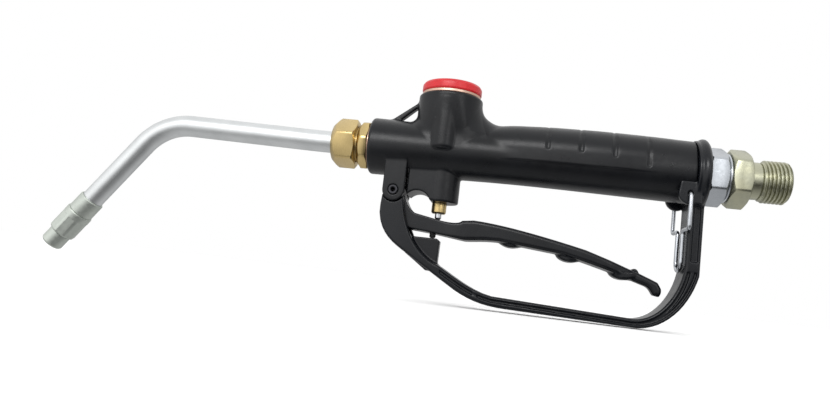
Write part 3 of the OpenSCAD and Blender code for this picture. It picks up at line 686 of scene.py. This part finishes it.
class Nodes:
    """A material's node tree, with short ways to add to it."""

    def __init__(self, name):
        self.material = bpy.data.materials.new(name)
        self.material.use_nodes = True
        self.tree = self.material.node_tree
        self.shader = next(n for n in self.tree.nodes if n.type == "BSDF_PRINCIPLED")
        self.place = self.add("ShaderNodeTexCoord").outputs["Object"]

    def add(self, kind, **values):
        node = self.tree.nodes.new(kind)
        for key, value in values.items():
            if hasattr(node, key):
                setattr(node, key, value)
            else:
                self.put(node.inputs[key.replace("_", " ")], value)
        return node

    def put(self, socket, value):
        if isinstance(value, bpy.types.NodeSocket):
            self.tree.links.new(value, socket)
        else:
            socket.default_value = value

    def set(self, **values):
        for key, value in values.items():
            self.put(self.shader.inputs[key.replace("_", " ")], value)

    def noise(self, scale, detail=3.0, roughness=0.5, where=None):
        """Noise at a place, which is the object's own space unless where says otherwise."""
        place = where or self.place
        node = self.add("ShaderNodeTexNoise", Vector=place, Scale=scale, Detail=detail, Roughness=roughness)
        return node.outputs["Fac"]

    def bands(self, axis, scale, detail=2.0):
        """Noise that varies only along an axis, as tool marks do on a turned face."""
        dot = self.add("ShaderNodeVectorMath", operation="DOT_PRODUCT")
        self.put(dot.inputs[0], self.place)
        dot.inputs[1].default_value = axis
        node = self.add("ShaderNodeTexNoise", noise_dimensions="1D")
        for key, value in (("W", dot.outputs["Value"]), ("Scale", scale), ("Detail", detail)):
            self.put(node.inputs[key], value)
        return node.outputs["Fac"]

    def between(self, factor, low, high, start=0.3, end=0.7):
        """Maps a factor that runs from start to end onto low to high."""
        limits = {"From_Min": start, "From_Max": end, "To_Min": low, "To_Max": high}
        return self.add("ShaderNodeMapRange", Value=factor, **limits).outputs["Result"]

    def mix(self, factor, a, b):
        node = self.add("ShaderNodeMix", data_type="RGBA")
        self.put(node.inputs[0], factor)
        self.put(node.inputs[6], a)
        self.put(node.inputs[7], b)
        return node.outputs[2]

    def times(self, a, b):
        node = self.add("ShaderNodeMath", operation="MULTIPLY")
        self.put(node.inputs[0], a)
        self.put(node.inputs[1], b)
        return node.outputs[0]

    def bump(self, height, strength, distance, below=None):
        node = self.add("ShaderNodeBump", Height=height, Strength=strength, Distance=distance)
        if below is not None:
            self.put(node.inputs["Normal"], below)
        return node.outputs["Normal"]

    def edges(self, start=0.53, end=0.62):
        """1 on outer edges, 0 elsewhere."""
        geometry = self.add("ShaderNodeNewGeometry")
        return self.between(geometry.outputs["Pointiness"], 0.0, 1.0, start, end)


def rgb(r, g, b):
    """An opaque colour."""
    return (r, g, b, 1.0)


def coated_casting(name, dark, light, rough_low, rough_high, grain, shine=0.30):
    """Black coating on a casting: fine grain, soft patches, and outer edges a little lighter in noise patches."""
    n = Nodes(name)
    patches = n.noise(55, 4)
    specks = n.noise(5200, 2)
    base = n.mix(n.between(patches, 0.0, 1.0), rgb(*dark), rgb(*light))
    # outer edges (Pointiness) mixed a little lighter, only where a noise pattern allows
    lighter_edge_patches = n.times(n.edges(), n.between(n.noise(900, 3), 0.0, 0.55, 0.45, 0.75))
    base = n.mix(lighter_edge_patches, base, rgb(0.02, 0.021, 0.023))
    rough = n.between(n.noise(240, 4), rough_low, rough_high)
    fine = n.bump(specks, grain, 0.00006)
    n.set(Base_Color=base, Roughness=rough, Normal=n.bump(n.noise(420, 2), 0.10, 0.0002, fine))
    n.set(Specular_IOR_Level=shine)
    return n.material


def turned_metal(name, colour, tint, rough_low, rough_high, axis, marks=5200.0, cut_strength=0.12):
    """Machined metal with tool marks round one axis, soft tarnish and fine scratches."""
    n = Nodes(name)
    tarnish = n.noise(160, 5, 0.6)
    base = n.mix(n.between(tarnish, 0.0, 1.0), rgb(*colour), rgb(*tint))
    lines = n.bands(axis, marks, 3.0)
    rough = n.between(lines, rough_low, rough_high)
    cuts = n.bump(lines, cut_strength, 0.00005)
    n.set(Metallic=1.0, Base_Color=base, Roughness=rough)
    n.set(Normal=n.bump(n.noise(2600, 2), 0.06, 0.00004, cuts))
    return n.material


def plated_metal(name, colour, tint, rough_low, rough_high, blotch=90.0):
    """Zinc-plated steel: cloudy passivation colour and a fine crystal grain."""
    n = Nodes(name)
    cloud = n.noise(blotch, 4, 0.6)
    crystal = n.noise(2400, 2)
    base = n.mix(n.between(cloud, 0.0, 1.0), rgb(*colour), rgb(*tint))
    rough = n.between(n.noise(700, 4), rough_low, rough_high)
    n.set(Metallic=1.0, Base_Color=base, Roughness=rough, Normal=n.bump(crystal, 0.05, 0.00003))
    return n.material


def drawn_tube(name):
    """Satin aluminium tube with faint lines along its length."""
    n = Nodes(name)
    flow = n.add("ShaderNodeTexCoord").outputs["UV"]
    stretch = n.add("ShaderNodeMapping")
    n.put(stretch.inputs["Vector"], flow)
    stretch.inputs["Scale"].default_value = (260.0, 5.0, 1.0)
    lines = n.noise(1.0, 4, 0.6, stretch.outputs["Vector"])
    base = n.mix(n.between(n.noise(120, 4), 0.0, 1.0), rgb(0.54, 0.555, 0.56), rgb(0.60, 0.615, 0.62))
    rough = n.between(lines, 0.38, 0.47)
    n.set(Metallic=1.0, Base_Color=base, Roughness=rough)
    n.set(Normal=n.bump(lines, 0.03, 0.00004, n.bump(n.noise(1500, 2), 0.02, 0.00004)))
    return n.material


def moulded_red(name):
    """Glossy red moulded cap with a slightly uneven skin."""
    n = Nodes(name)
    base = n.mix(n.between(n.noise(140, 3), 0.0, 1.0), rgb(0.38, 0.010, 0.014), rgb(0.45, 0.014, 0.018))
    n.set(Base_Color=base, Roughness=n.between(n.noise(600, 3), 0.26, 0.38))
    n.set(Normal=n.bump(n.noise(900, 2), 0.06, 0.0001), Specular_IOR_Level=0.35)
    return n.material


def soft_rubber(name):
    """Matte black rubber with a dusty bloom."""
    n = Nodes(name)
    base = n.mix(n.between(n.noise(500, 4), 0.0, 1.0), rgb(0.012, 0.012, 0.012), rgb(0.03, 0.03, 0.03))
    n.set(Base_Color=base, Roughness=n.between(n.noise(1500, 3), 0.62, 0.82))
    n.set(Normal=n.bump(n.noise(4200, 2), 0.2, 0.00006))
    return n.material


def pale_floor(name):
    """Matt, nearly white floor."""
    n = Nodes(name)
    n.set(Base_Color=n.mix(n.between(n.noise(3, 2), 0.0, 1.0), rgb(0.93, 0.93, 0.93), rgb(0.95, 0.95, 0.95)))
    n.set(Roughness=0.9, Specular_IOR_Level=0.1)
    return n.material


AXIS_X = (1.0, 0.0, 0.0)
AXIS_Z = (0.0, 0.0, 1.0)
TIP_LENGTH = 27.2
TIP_AT, TIP_AXIS = mount("spout_outlet")
TIP_START = TIP_AT - TIP_LENGTH * TIP_AXIS
BRASS = (0.54, 0.41, 0.19), (0.46, 0.35, 0.16)

FINISH = {
    "black_cast": coated_casting(
        "satin_black_body", (0.0016, 0.0019, 0.0027), (0.0034, 0.0039, 0.0052), 0.27, 0.35, 0.35, 0.27
    ),
    "guard_cast": coated_casting(
        "satin_black_guard", (0.0018, 0.0023, 0.0036), (0.0036, 0.0045, 0.0064), 0.23, 0.31, 0.25, 0.28
    ),
    "lever_cast": coated_casting(
        "satin_black_lever", (0.0018, 0.0022, 0.0033), (0.0036, 0.0043, 0.0058), 0.25, 0.33, 0.30, 0.28
    ),
    "cap_red": moulded_red("red_cap_plastic"),
    "brass": turned_metal("machined_brass", *BRASS, 0.24, 0.36, AXIS_X),
    "copper": plated_metal("pale_copper", (0.60, 0.38, 0.28), (0.55, 0.39, 0.31), 0.3, 0.42),
    "zinc_blue": plated_metal("blue_zinc", (0.42, 0.44, 0.465), (0.36, 0.38, 0.405), 0.26, 0.38),
    "zinc_yellow": plated_metal("yellow_zinc", (0.41, 0.405, 0.29), (0.34, 0.345, 0.27), 0.28, 0.42),
    "tip_zinc": plated_metal("dull_zinc", (0.50, 0.53, 0.49), (0.43, 0.46, 0.425), 0.42, 0.56, 60.0),
    "alu_tube": drawn_tube("satin_tube"),
    "steel": turned_metal("drawn_steel", (0.62, 0.63, 0.65), (0.52, 0.53, 0.56), 0.22, 0.34, AXIS_Z),
    "wire_zinc": plated_metal("bright_zinc_wire", (0.50, 0.52, 0.55), (0.42, 0.44, 0.47), 0.2, 0.32, 200.0),
    "pin_steel": plated_metal("phosphated_steel", (0.03, 0.03, 0.034), (0.05, 0.05, 0.055), 0.4, 0.55, 300.0),
    "rubber_black": soft_rubber("black_rubber"),
    "brass_upright": turned_metal("machined_brass_upright", *BRASS, 0.22, 0.34, AXIS_Z),
}


def dress_cad_nodes():
    """Gives every CAD node that stays in view or inside its finish."""
    for part in frame["record"]["subparts"]:
        obj = frame["nodes"][part["node"]]
        obj.data.materials.clear()
        obj.data.materials.append(FINISH[part["material_slot"]])


# ---- pieces ----


def make_casting(name, node, shape, step, body, slot):
    """One casting, its distance field sampled every step millimetres over its CAD box."""
    margin = 1.2
    lo, hi = span(node)
    grid = Grid(lo - margin, hi + margin, step)
    finish_piece(cast_piece(name, shape(grid), grid), body, slot, [node], sharp=0)


VALVE_AXIS = np.array([VALVE_X, 0.0, 0.0])
CAP_R = 15.6
PLUG_R = 13.0
CENTRE = np.zeros(3)


def make_cap():
    """Red cap with a soft rim, a recessed top and two shallow rings."""
    low, high = reach("plug_cap", Z)
    skirt = BOSS_TOP + 1.85
    profile = [(0, low), (4.9, low, 0.2), (4.9, skirt, 0.1), (CAP_R - 0.5, skirt, 0.3)]
    profile += [(CAP_R, skirt + 0.7, 0.4), (CAP_R, high - 1.5, 1.0), (14.7, high - 0.1, 0.9)]
    profile += [(12.9, high, 0.5), (12.2, high - 0.7, 0.3), (7.4, high - 0.75, 0.2)]
    profile += [(7.0, high - 0.45, 0.2), (6.2, high - 0.45, 0.2), (5.8, high - 0.8, 0.2), (0, high - 0.8)]
    cap = turned("cap_red_moulded", profile, VALVE_AXIS, AXIS_Z, closed=False, sides=128)
    finish_piece(cap, "gun", "cap_red", ["plug_cap"])


def make_plug():
    """Flange under the cap, with the plug below it that closes the valve's chamber."""
    top = BOSS_TOP
    profile = [(15.0, top + 0.06, 0.2), (15.3, top + 0.4, 0.2), (15.3, top + 1.5, 0.2)]
    profile += [(15.0, top + 1.8, 0.2), (5.1, top + 1.8, 0.1), (5.1, top - 2.9, 0.1), (2.2, top - 2.9, 0.05)]
    profile += [(2.2, 24.7, 0.05), (3.5, 24.7, 0.05), (3.5, 20.0, 0.05), (8.6, 20.0, 0.05)]
    profile += [(8.6, 15.6, 0.2), (PLUG_R, 15.6, 0.4), (PLUG_R, top - 2.3, 0.1), (12.3, top - 2.2, 0.1)]
    profile += [(12.3, top - 1.0, 0.1), (PLUG_R, top - 0.9, 0.1), (PLUG_R, top + 0.06, 0.05)]
    plug = turned("plug_flange", profile, VALVE_AXIS, AXIS_Z, sides=128)
    finish_piece(plug, "gun", "copper", ["top_plug"])


def make_gland():
    """Brass gland with a round collar, where the rod leaves the valve block."""
    low, high = reach("rod_gland", Z)
    bore, collar_r, collar_z = 1.76, 3.8, low + 5.5
    profile = [(bore, low, 0.1), (3.2, low, 0.35), (collar_r, low + 0.7, 0.3), (collar_r, collar_z, 0.1)]
    profile += [(3.0, collar_z, 0.05), (3.0, high, 0.2), (bore, high, 0.1)]
    gland = turned("gland_brass", profile, VALVE_AXIS, AXIS_Z, sides=72)
    finish_piece(gland, "gun", "brass", ["rod_gland"], finish="brass_upright")


def make_push_rod():
    """Steel rod that the lever lifts."""
    low, high = reach("push_rod", Z)
    profile = [(0, low), (1.2, low, 0.3), (1.7, low + 0.9, 0.3), (1.7, high, 0.1), (0, high)]
    rod = turned("rod_steel", profile, VALVE_AXIS, AXIS_Z, closed=False, sides=48)
    finish_piece(rod, "valve_stem", "steel", ["push_rod"])


def make_spanner_piece(name, flats, left, right, inner, body, slot, node):
    """A chamfered spanner piece along X. inner is the closed path of (radius, station) points from
    the right end of the flats back to the left end; it may run through stubs and bores."""
    across, sides, turn = flats
    angles, rings = spanner_rings(CENTRE, AXIS_X, across, sides, turn, left, right)
    rings += [turned_ring(CENTRE, AXIS_X, r, t, angles) for r, t in eased(inner, False)]
    finish_piece(add_mesh(name, *loft(rings, closed=True)), body, slot, [node], 32)


SPOUT_TURN = math.radians(14)


def make_outlet_nut():
    """Brass nut that holds the tube."""
    lo, hi = reach("outlet_nut", X)
    bore, socket = 5.85, 9.3
    path = [(11.3, hi), (9.5, hi, 0.2), (socket, hi - 0.3), (socket, lo + 2.8), (bore, lo + 2.8)]
    path += [(bore, lo + 0.2), (6.1, lo), (8.6, lo, 0.3), (9.8, lo + 0.5)]
    left, right = (9.8, lo + 0.5, 13.6, lo + 4.5), (11.3, hi, 13.7, hi - 1.4)
    make_spanner_piece("nut_brass", (23.0, 6, SPOUT_TURN), left, right, path, "gun", "brass", "outlet_nut")


def make_outlet_adapter():
    """Brass octagon between the body and the nut."""
    lo, hi = reach("outlet_adapter", X)
    x1, x0 = X_FRONT - 0.7, X_FRONT - 6.5
    step = X_FRONT - 7.4
    path = [(11.9, x1), (8.0, x1, 0.1), (8.0, hi - 0.6, 0.2), (7.4, hi, 0.2), (4.4, hi, 0.2)]
    path += [(4.4, step, 0.1), (5.8, step, 0.1), (5.8, lo, 0.1), (8.8, lo, 0.2)]
    path += [(9.2, lo + 0.4, 0.2), (9.2, x0, 0.1), (10.0, x0)]
    left, right = (10.0, x0, 13.4, x0 + 2.7), (11.9, x1, 13.4, x1 - 1.0)
    flats = (24.0, 8, SPOUT_TURN)
    make_spanner_piece("adapter_brass", flats, left, right, path, "gun", "brass", "outlet_adapter")


# The tube from the nut: (line, millimetres, 0) or (bend, degrees down, radius)
SPOUT_STRETCHES = (("line", 16.0, 0), ("bend", -1.2, -400.0), ("line", 69.3, 0))
SPOUT_STRETCHES += (("bend", 54.0, 32.0), ("line", 48.6, 0))
TUBE_OUTER, TUBE_INNER = 5.75, 4.5


def heading(h):
    """Direction away from the body, turned up by h."""
    return np.array([-math.cos(h), 0.0, math.sin(h)])


def below(h):
    """Direction square to heading, on its lower side."""
    return np.array([-math.sin(h), 0.0, -math.cos(h)])


def spout_path():
    """Centre line of the tube: out of the nut, a slight lift, the run, the elbow and the drop."""
    p, h, out = np.array([span("spout_tube")[1][0], 0.0, 0.0]), 0.0, []
    for kind, length, radius in SPOUT_STRETCHES:
        if kind == "line":
            count = max(2, int(length / 2))
            out += [p + heading(h) * length * t for t in np.linspace(0, 1, count, endpoint=False)]
            p = p + heading(h) * length
            continue
        turn = math.radians(length)
        for t in np.linspace(0, 1, 48 if radius > 0 else 6, endpoint=False):
            out.append(p + radius * below(h) - radius * below(h - turn * t))
        p = p + radius * below(h) - radius * below(h - turn)
        h -= turn
    out.append(p)
    return np.array(out)


def make_spout():
    """Drawn tube with its open ends, and lines along it for the grain."""
    path, sides = spout_path(), 72
    rings = sweep_rings(path, TUBE_OUTER, sides)
    bore = sweep_rings(path, TUBE_INNER, sides)
    obj = add_mesh("spout_drawn_tube", *loft(np.concatenate([rings, bore[::-1]]), closed=True))
    finish_piece(obj, "gun", "alu_tube", ["spout_tube"])
    add_flow_map(obj, path)


def add_flow_map(obj, path):
    """UV map with U round the tube and V along it, for lines that follow the bend."""
    mesh = obj.data
    layer = mesh.uv_layers.new(name="flow")
    co = np.zeros(len(mesh.vertices) * 3)
    mesh.vertices.foreach_get("co", co)
    co = co.reshape(-1, 3) * MM
    along = np.concatenate([[0], np.cumsum(np.linalg.norm(np.diff(path, axis=0), axis=1))])
    tangent, _, _ = sweep_frames(path)
    nearest = np.array([int(np.argmin(((path - c) ** 2).sum(1))) for c in co])
    offset = co - path[nearest]
    v = (along[nearest] + (offset * tangent[nearest]).sum(1)) / along[-1]
    up = np.cross(tangent[nearest], [0.0, 1.0, 0.0])
    u = np.abs(np.arctan2(co[:, 1], (offset * up).sum(1)) / (2 * math.pi))
    loops = np.zeros(len(mesh.loops), int)
    mesh.loops.foreach_get("vertex_index", loops)
    layer.data.foreach_set("uv", np.stack([u[loops], v[loops]], 1).ravel())


TIP_STEP = 9.7  # length of the tip's collar; the body starts here
BODY_R = 7.25


def make_tip_collar():
    """Turned collar that the tube is pressed into."""
    step, socket = TIP_STEP, 7.05
    profile = [(5.8, 0, 0.1), (6.25, 0, 0.15), (6.7, 0.5, 0.2), (6.7, step, 0.12), (5.0, step, 0.1)]
    profile += [(5.0, step + 3.4, 0.1), (4.0, step + 3.4, 0.1), (3.0, step + 2.2, 0.1)]
    profile += [(3.0, socket, 0.1), (5.8, socket, 0.1)]
    finish_piece(turned("tip_collar_turned", profile, TIP_START, TIP_AXIS), "gun", "tip_zinc", ["tip_collar"])


def make_tip_sleeve():
    """End sleeve with the outlet."""
    step = TIP_STEP
    profile = [(2.2, step + 10.8, 0.1), (4.9, step + 10.8, 0.1), (4.9, step + 15.05, 0.05)]
    profile += [(5.5, step + 15.05, 0.15), (5.85, step + 15.4, 0.15), (5.85, step + 22.5, 0.4)]
    profile += [(5.3, step + 23.3, 0.3), (3.9, step + 23.3, 0.15), (3.6, step + 23.0, 0.1)]
    profile += [(3.6, step + 12.0, 0.1), (2.2, step + 12.0, 0.1)]
    finish_piece(turned("tip_sleeve_turned", profile, TIP_START, TIP_AXIS), "gun", "tip_zinc", ["tip_sleeve"])


def make_tip_body():
    """Body of the tip, with eight spanner flats cut below a round band."""
    step, wide, end = TIP_STEP, BODY_R, TIP_STEP + 15.0
    turn = math.pi / 8
    angles = flats_angles(8, turn, 16)
    flat = np.minimum(flats_radius(angles, 13.9, 8, turn, 0.0), wide)
    spots = [(5.05, step + 0.05), (6.8, step + 0.05), (7.15, step + 0.2), (wide, step + 0.5)]
    spots += [(wide, step + 3.5), (np.maximum(flat, wide - 0.06), step + 3.75), (flat, step + 3.9)]
    spots += [(flat, end - 1.0), (flat - 0.25, end - 0.35), (flat - 0.7, end), (5.05, end)]
    rings = [turned_ring(TIP_START, TIP_AXIS, r, t, angles) for r, t in spots]
    piece = add_mesh("tip_body_flats", *loft(rings, closed=True))
    finish_piece(piece, "gun", "tip_zinc", ["tip_body"], 14)


FITTING_START, FITTING_END = X_BODY + 6.2, X_BODY + 15.2
STUB_START = FITTING_END + 1.8
STUB_END = STUB_START + 9.0
THREAD_END = span("swivel_stub")[1][0]
INLET_FLATS = (26.0, 6, 0.0)
FLOW_BORE = 5.0


def make_inlet_fitting():
    """Zinc-plated fitting screwed into the body."""
    lo, hi = FITTING_START, FITTING_END
    stud = span("inlet_fitting")[0][0]
    path = [(12.6, hi), (7.35, hi, 0.2), (7.25, hi - 0.3), (7.25, stud, 0.1), (8.3, stud, 0.2)]
    path += [(8.55, stud + 0.4, 0.1), (8.55, lo, 0.1), (13.0, lo)]
    left, right = (13.0, lo, 15.5, lo + 1.3), (12.6, hi, 15.4, hi - 1.75)
    make_spanner_piece("fitting_hexagon", INLET_FLATS, left, right, path, "gun", "zinc_blue", "inlet_fitting")


def make_swivel_washer():
    """Bright washer between the fitting and the stub."""
    x = STUB_START
    profile = [(7.25, x - 1.6, 0.1), (11.9, x - 1.6, 0.3), (12.3, x - 1.1, 0.4), (12.3, x - 0.6, 0.4)]
    profile += [(11.9, x - 0.05, 0.2), (7.25, x - 0.05, 0.1)]
    washer = turned("washer_bright", profile, CENTRE, AXIS_X)
    finish_piece(washer, "inlet_swivel", "steel", ["swivel_washer"], finish="wire_zinc")


def make_swivel_stub():
    """Hexagon of the swivel stub with its spigot; make_thread's end meets it inside the neck."""
    x0, x1, end, spigot, neck = STUB_START, STUB_END, THREAD_END, span("swivel_stub")[0][0], 9.3
    path = [(12.9, x1), (neck + 0.5, x1, 0.2), (neck, x1 + 0.6, 0.3), (neck - 0.1, -end - 0.9, 0.3)]
    path += [(8.75, -end + 0.1, 0.1), (FLOW_BORE, -end + 0.1, 0.05), (FLOW_BORE, spigot, 0.1)]
    path += [(6.8, spigot, 0.1), (7.2, spigot + 0.5, 0.1), (7.2, x0, 0.1), (13.0, x0)]
    left, right = (13.0, x0, 15.5, x0 + 1.7), (12.9, x1, 15.5, x1 - 1.6)
    place = "inlet_swivel", "zinc_yellow", "swivel_stub"
    make_spanner_piece("stub_hexagon", INLET_FLATS, left, right, path, *place)


def thread_rings(start, end, pitch, crest, root, sides):
    """Rings of a right-hand cut thread between two stations, its first and last turns run out."""
    ring_gap, runout_length, lead_slope = 0.11, 1.6, 1.15
    angles = full_turn(sides)
    rings = []
    for x in np.linspace(start, end, int((end - start) / ring_gap)):
        phase = ((x / pitch - angles / (2 * math.pi)) % 1.0) - 0.5
        rise = np.clip((0.43 - np.abs(phase)) / 0.30, 0, 1)
        height = root + (crest - root) * (rise * rise * (3 - 2 * rise) * 0.35 + rise * 0.65)
        runout = min(1.0, (x - start) / runout_length)
        lead = root - 0.25 + (end - x) * lead_slope
        height = np.minimum(root - 0.2 + (height - root + 0.2) * runout, lead)
        rings.append(turned_ring(CENTRE, AXIS_X, height, x, angles))
    return rings


def make_thread():
    """G 1/2 thread on the end of the stub, with the filter's counterbore."""
    end, pitch, crest, depth, sides = THREAD_END, 1.814, 10.4775, 1.12, 128
    rings = thread_rings(-end, end, pitch, crest, crest - depth, sides)
    angles = full_turn(sides)
    filter_seat = end - 10.5
    inside = [(8.9, end), (7.9, end), (7.6, end - 0.3), (7.6, filter_seat), (FLOW_BORE, filter_seat)]
    inside += [(FLOW_BORE, -end), (8.7, -end)]
    rings += [turned_ring(CENTRE, AXIS_X, r, t, angles) for r, t in inside]
    finish_piece(add_mesh("stub_thread", *loft(rings, closed=True)), "inlet_swivel", "zinc_yellow", [], 50)


WIRE_R = 1.0


def make_latch():
    """Wire latch bent from one length of wire, hooked through both ears."""
    wide, narrow, inner, step_z = 15.75, 4.7, 10.6, EAR_Z - 17
    loop_z = span("wire_latch")[0][2] + WIRE_R
    half = [(EAR_X, inner, EAR_Z), (EAR_X, wide, EAR_Z), (EAR_X, wide, step_z)]
    half += [(EAR_X, narrow, step_z), (EAR_X, narrow, loop_z)]
    rings = sweep_rings(latch_path(half, narrow, loop_z), WIRE_R, 24)
    finish_piece(add_mesh("latch_wire", *loft(rings)), "latch", "wire_zinc", ["wire_latch"])


def latch_path(half, narrow, loop_z):
    """The latch's bends: tight at the shoulders and a full half turn at the bottom."""
    upper = bent_path(half, 2.0)[:-1]
    centre_z = loop_z + narrow
    angles = np.linspace(0, math.pi, 40)
    turn = [(EAR_X, narrow * math.cos(a), centre_z - narrow * math.sin(a)) for a in angles]
    mirrored = upper[::-1] * np.array([1, -1, 1])
    return np.concatenate([upper, turn, mirrored])


def make_bumper():
    """Rubber bumper pressed into the lever's underside."""
    lo, hi = reach("lever_bumper", Z)
    origin = np.array([middle("lever_bumper")[0], 0.0, 0.0])
    profile = [(0, lo), (1.1, lo, 0.4), (1.6, lo + 0.6, 0.4), (1.6, hi, 0.1), (0, hi)]
    bumper = turned("bumper_rubber", profile, origin, AXIS_Z, closed=False, sides=40)
    finish_piece(bumper, "lever", "rubber_black", ["lever_bumper"])


def make_pin():
    """Hollow pivot pin with rolled ends."""
    half, sides = span("pivot_pin")[1][1], 64
    origin = np.array([PIVOT_X, 0.0, PIVOT_Z])
    profile = [(1.0, -half + 0.4, 0.2), (1.5, -half, 0.3), (2.2, -half, 0.3), (2.5, -half + 0.5, 0.3)]
    profile += [(2.5, half - 0.5, 0.3), (2.2, half, 0.3), (1.5, half, 0.3), (1.0, half - 0.4, 0.2)]
    angles = full_turn(sides)
    rings = []
    for r, t in eased(profile, True):
        ring = np.stack([np.cos(angles) * r, np.full(sides, t), np.sin(angles) * r], 1)
        rings.append(origin + ring)
    finish_piece(add_mesh("pin_hollow", *loft(rings, closed=True)), "gun", "pin_steel", ["pivot_pin"])


# ---- stage ----


def make_floor():
    """Plain pale floor just under the guard; it casts no shadow and shows in no reflection."""
    size, gap = 6.0, 0.0003
    lo, hi = cad_box
    x, z = (lo.x + hi.x) / 2, lo.z - gap
    corners = [(x - size, -size, z), (x + size, -size, z), (x + size, size, z), (x - size, size, z)]
    mesh = bpy.data.meshes.new("floor")
    mesh.from_pydata(corners, [], [(0, 1, 2, 3)])
    floor = bpy.data.objects.new("floor", mesh)
    bpy.context.scene.collection.objects.link(floor)
    mesh.materials.append(pale_floor("pale_floor"))
    floor.visible_glossy = False
    floor.visible_shadow = False


AIM = (-0.17, 0.0, -0.015)


def soft_light(name, place, size, power):
    """A rectangular soft box aimed at the gun; places and sizes in metres."""
    data = bpy.data.lights.new(name, "AREA")
    data.shape = "RECTANGLE"
    data.size, data.size_y = size
    data.energy = power
    light = bpy.data.objects.new(name, data)
    light.location = place
    light.rotation_mode = "QUATERNION"
    light.rotation_quaternion = (Vector(AIM) - Vector(place)).to_track_quat("-Z", "Y")
    bpy.context.scene.collection.objects.link(light)


def make_lights():
    """A soft box above the camera's left shoulder and a weak one to the right."""
    soft_light("key", (-0.32, -0.84, 0.46), (0.7, 0.28), 5.0)
    soft_light("fill", (0.45, -0.8, 0.30), (0.4, 0.4), 1.0)


# Brightness of the surroundings by height of direction (its Z): in front of the gun on the
# spout's side, in front on the inlet's side, and behind
SPOUT_LIGHT = ((-1.0, 0.85), (-0.82, 0.75), (-0.68, 0.5), (-0.36, 0.5), (-0.24, 1.25))
SPOUT_LIGHT += ((0.1, 1.7), (0.35, 1.5), (0.7, 1.0), (1.0, 1.2))
INLET_LIGHT = ((-1.0, 0.5), (-0.82, 0.42), (-0.68, 0.05), (-0.28, 0.05), (-0.14, 0.7))
INLET_LIGHT += ((0.15, 0.9), (0.5, 1.0), (1.0, 1.4))
REAR_LIGHT = ((-1.0, 0.75), (-0.6, 0.75), (-0.1, 0.45), (0.1, 0.65), (0.8, 1.25), (1.0, 1.4))


def light_table(tree, height, table):
    """A ramp node that reads brightness from a table of (height, brightness)."""
    spread = tree.nodes.new("ShaderNodeMapRange")
    spread.inputs["From Min"].default_value = -1.0
    tree.links.new(height, spread.inputs["Value"])
    ramp = tree.nodes.new("ShaderNodeValToRGB")
    stops = ramp.color_ramp.elements
    for at, bright in table[1:-1]:
        stops.new((at + 1) / 2).color = (bright, bright, bright, 1)
    for stop, (_, bright) in ((stops[0], table[0]), (stops[-1], table[-1])):
        stop.color = (bright, bright, bright, 1)
    tree.links.new(spread.outputs["Result"], ramp.inputs["Fac"])
    return ramp.outputs["Color"]


def light_blend(tree, along, start, end, first, second):
    """Goes from the first colour to the second as the direction's coordinate runs from start to end."""
    share, blend = tree.nodes.new("ShaderNodeMapRange"), tree.nodes.new("ShaderNodeMix")
    blend.data_type = "RGBA"
    share.inputs["From Min"].default_value = start
    share.inputs["From Max"].default_value = end
    tree.links.new(along, share.inputs["Value"])
    tree.links.new(share.outputs["Result"], blend.inputs[0])
    tree.links.new(first, blend.inputs[6])
    tree.links.new(second, blend.inputs[7])
    return blend.outputs[2]


def make_world():
    """White for the camera; for everything else, the soft surroundings of a light tent."""
    world = bpy.data.worlds.new("studio")
    bpy.context.scene.world = world
    world.use_nodes = True
    tree = world.node_tree
    tree.nodes.clear()
    link = tree.links.new
    out = tree.nodes.new("ShaderNodeOutputWorld")
    seen, lit = tree.nodes.new("ShaderNodeBackground"), tree.nodes.new("ShaderNodeBackground")
    choose, path = tree.nodes.new("ShaderNodeMixShader"), tree.nodes.new("ShaderNodeLightPath")
    place, split = tree.nodes.new("ShaderNodeTexCoord"), tree.nodes.new("ShaderNodeSeparateXYZ")
    seen.inputs["Color"].default_value = (1, 1, 1, 1)
    link(place.outputs["Generated"], split.inputs[0])
    tables = SPOUT_LIGHT, INLET_LIGHT, REAR_LIGHT
    spout, inlet, rear = (light_table(tree, split.outputs["Z"], table) for table in tables)
    front = light_blend(tree, split.outputs["X"], -0.25, 0.10, spout, inlet)
    link(light_blend(tree, split.outputs["Y"], -0.35, 0.45, front, rear), lit.inputs["Color"])
    link(path.outputs["Is Camera Ray"], choose.inputs[0])
    link(lit.outputs[0], choose.inputs[1])
    link(seen.outputs[0], choose.inputs[2])
    link(choose.outputs[0], out.inputs["Surface"])


CAMERA_PLACE = (-0.12591, -0.34805, -0.06733)
CAMERA_TURN = (96.568, -6.744, 7.116)
FOCAL_LENGTH = 29.494


def make_camera():
    """Camera at the photograph's viewing angle: place in metres, turns about X, Y and Z in degrees."""
    data = bpy.data.cameras.new("camera")
    data.sensor_width = 36.0
    data.lens = FOCAL_LENGTH
    data.clip_start, data.clip_end = 0.01, 30.0
    camera = bpy.data.objects.new("camera", data)
    camera.location = CAMERA_PLACE
    camera.rotation_euler = [math.radians(turn) for turn in CAMERA_TURN]
    bpy.context.scene.collection.objects.link(camera)
    bpy.context.scene.camera = camera
    bpy.context.scene.view_settings.view_transform = "Standard"


dress_cad_nodes()
make_casting("grip_body", "body_casting", body_field, 0.45, "gun", "black_cast")
make_casting("hand_guard", "guard_casting", guard_field, 0.42, "gun", "guard_cast")
make_casting("lever_handle", "trigger_lever", lever_field, 0.36, "lever", "lever_cast")
make_cap()
make_plug()
make_gland()
make_push_rod()
make_outlet_nut()
make_outlet_adapter()
make_spout()
make_tip_collar()
make_tip_sleeve()
make_tip_body()
make_inlet_fitting()
make_swivel_washer()
make_swivel_stub()
make_thread()
make_latch()
make_bumper()
make_pin()
make_floor()
make_world()
make_lights()
make_camera()
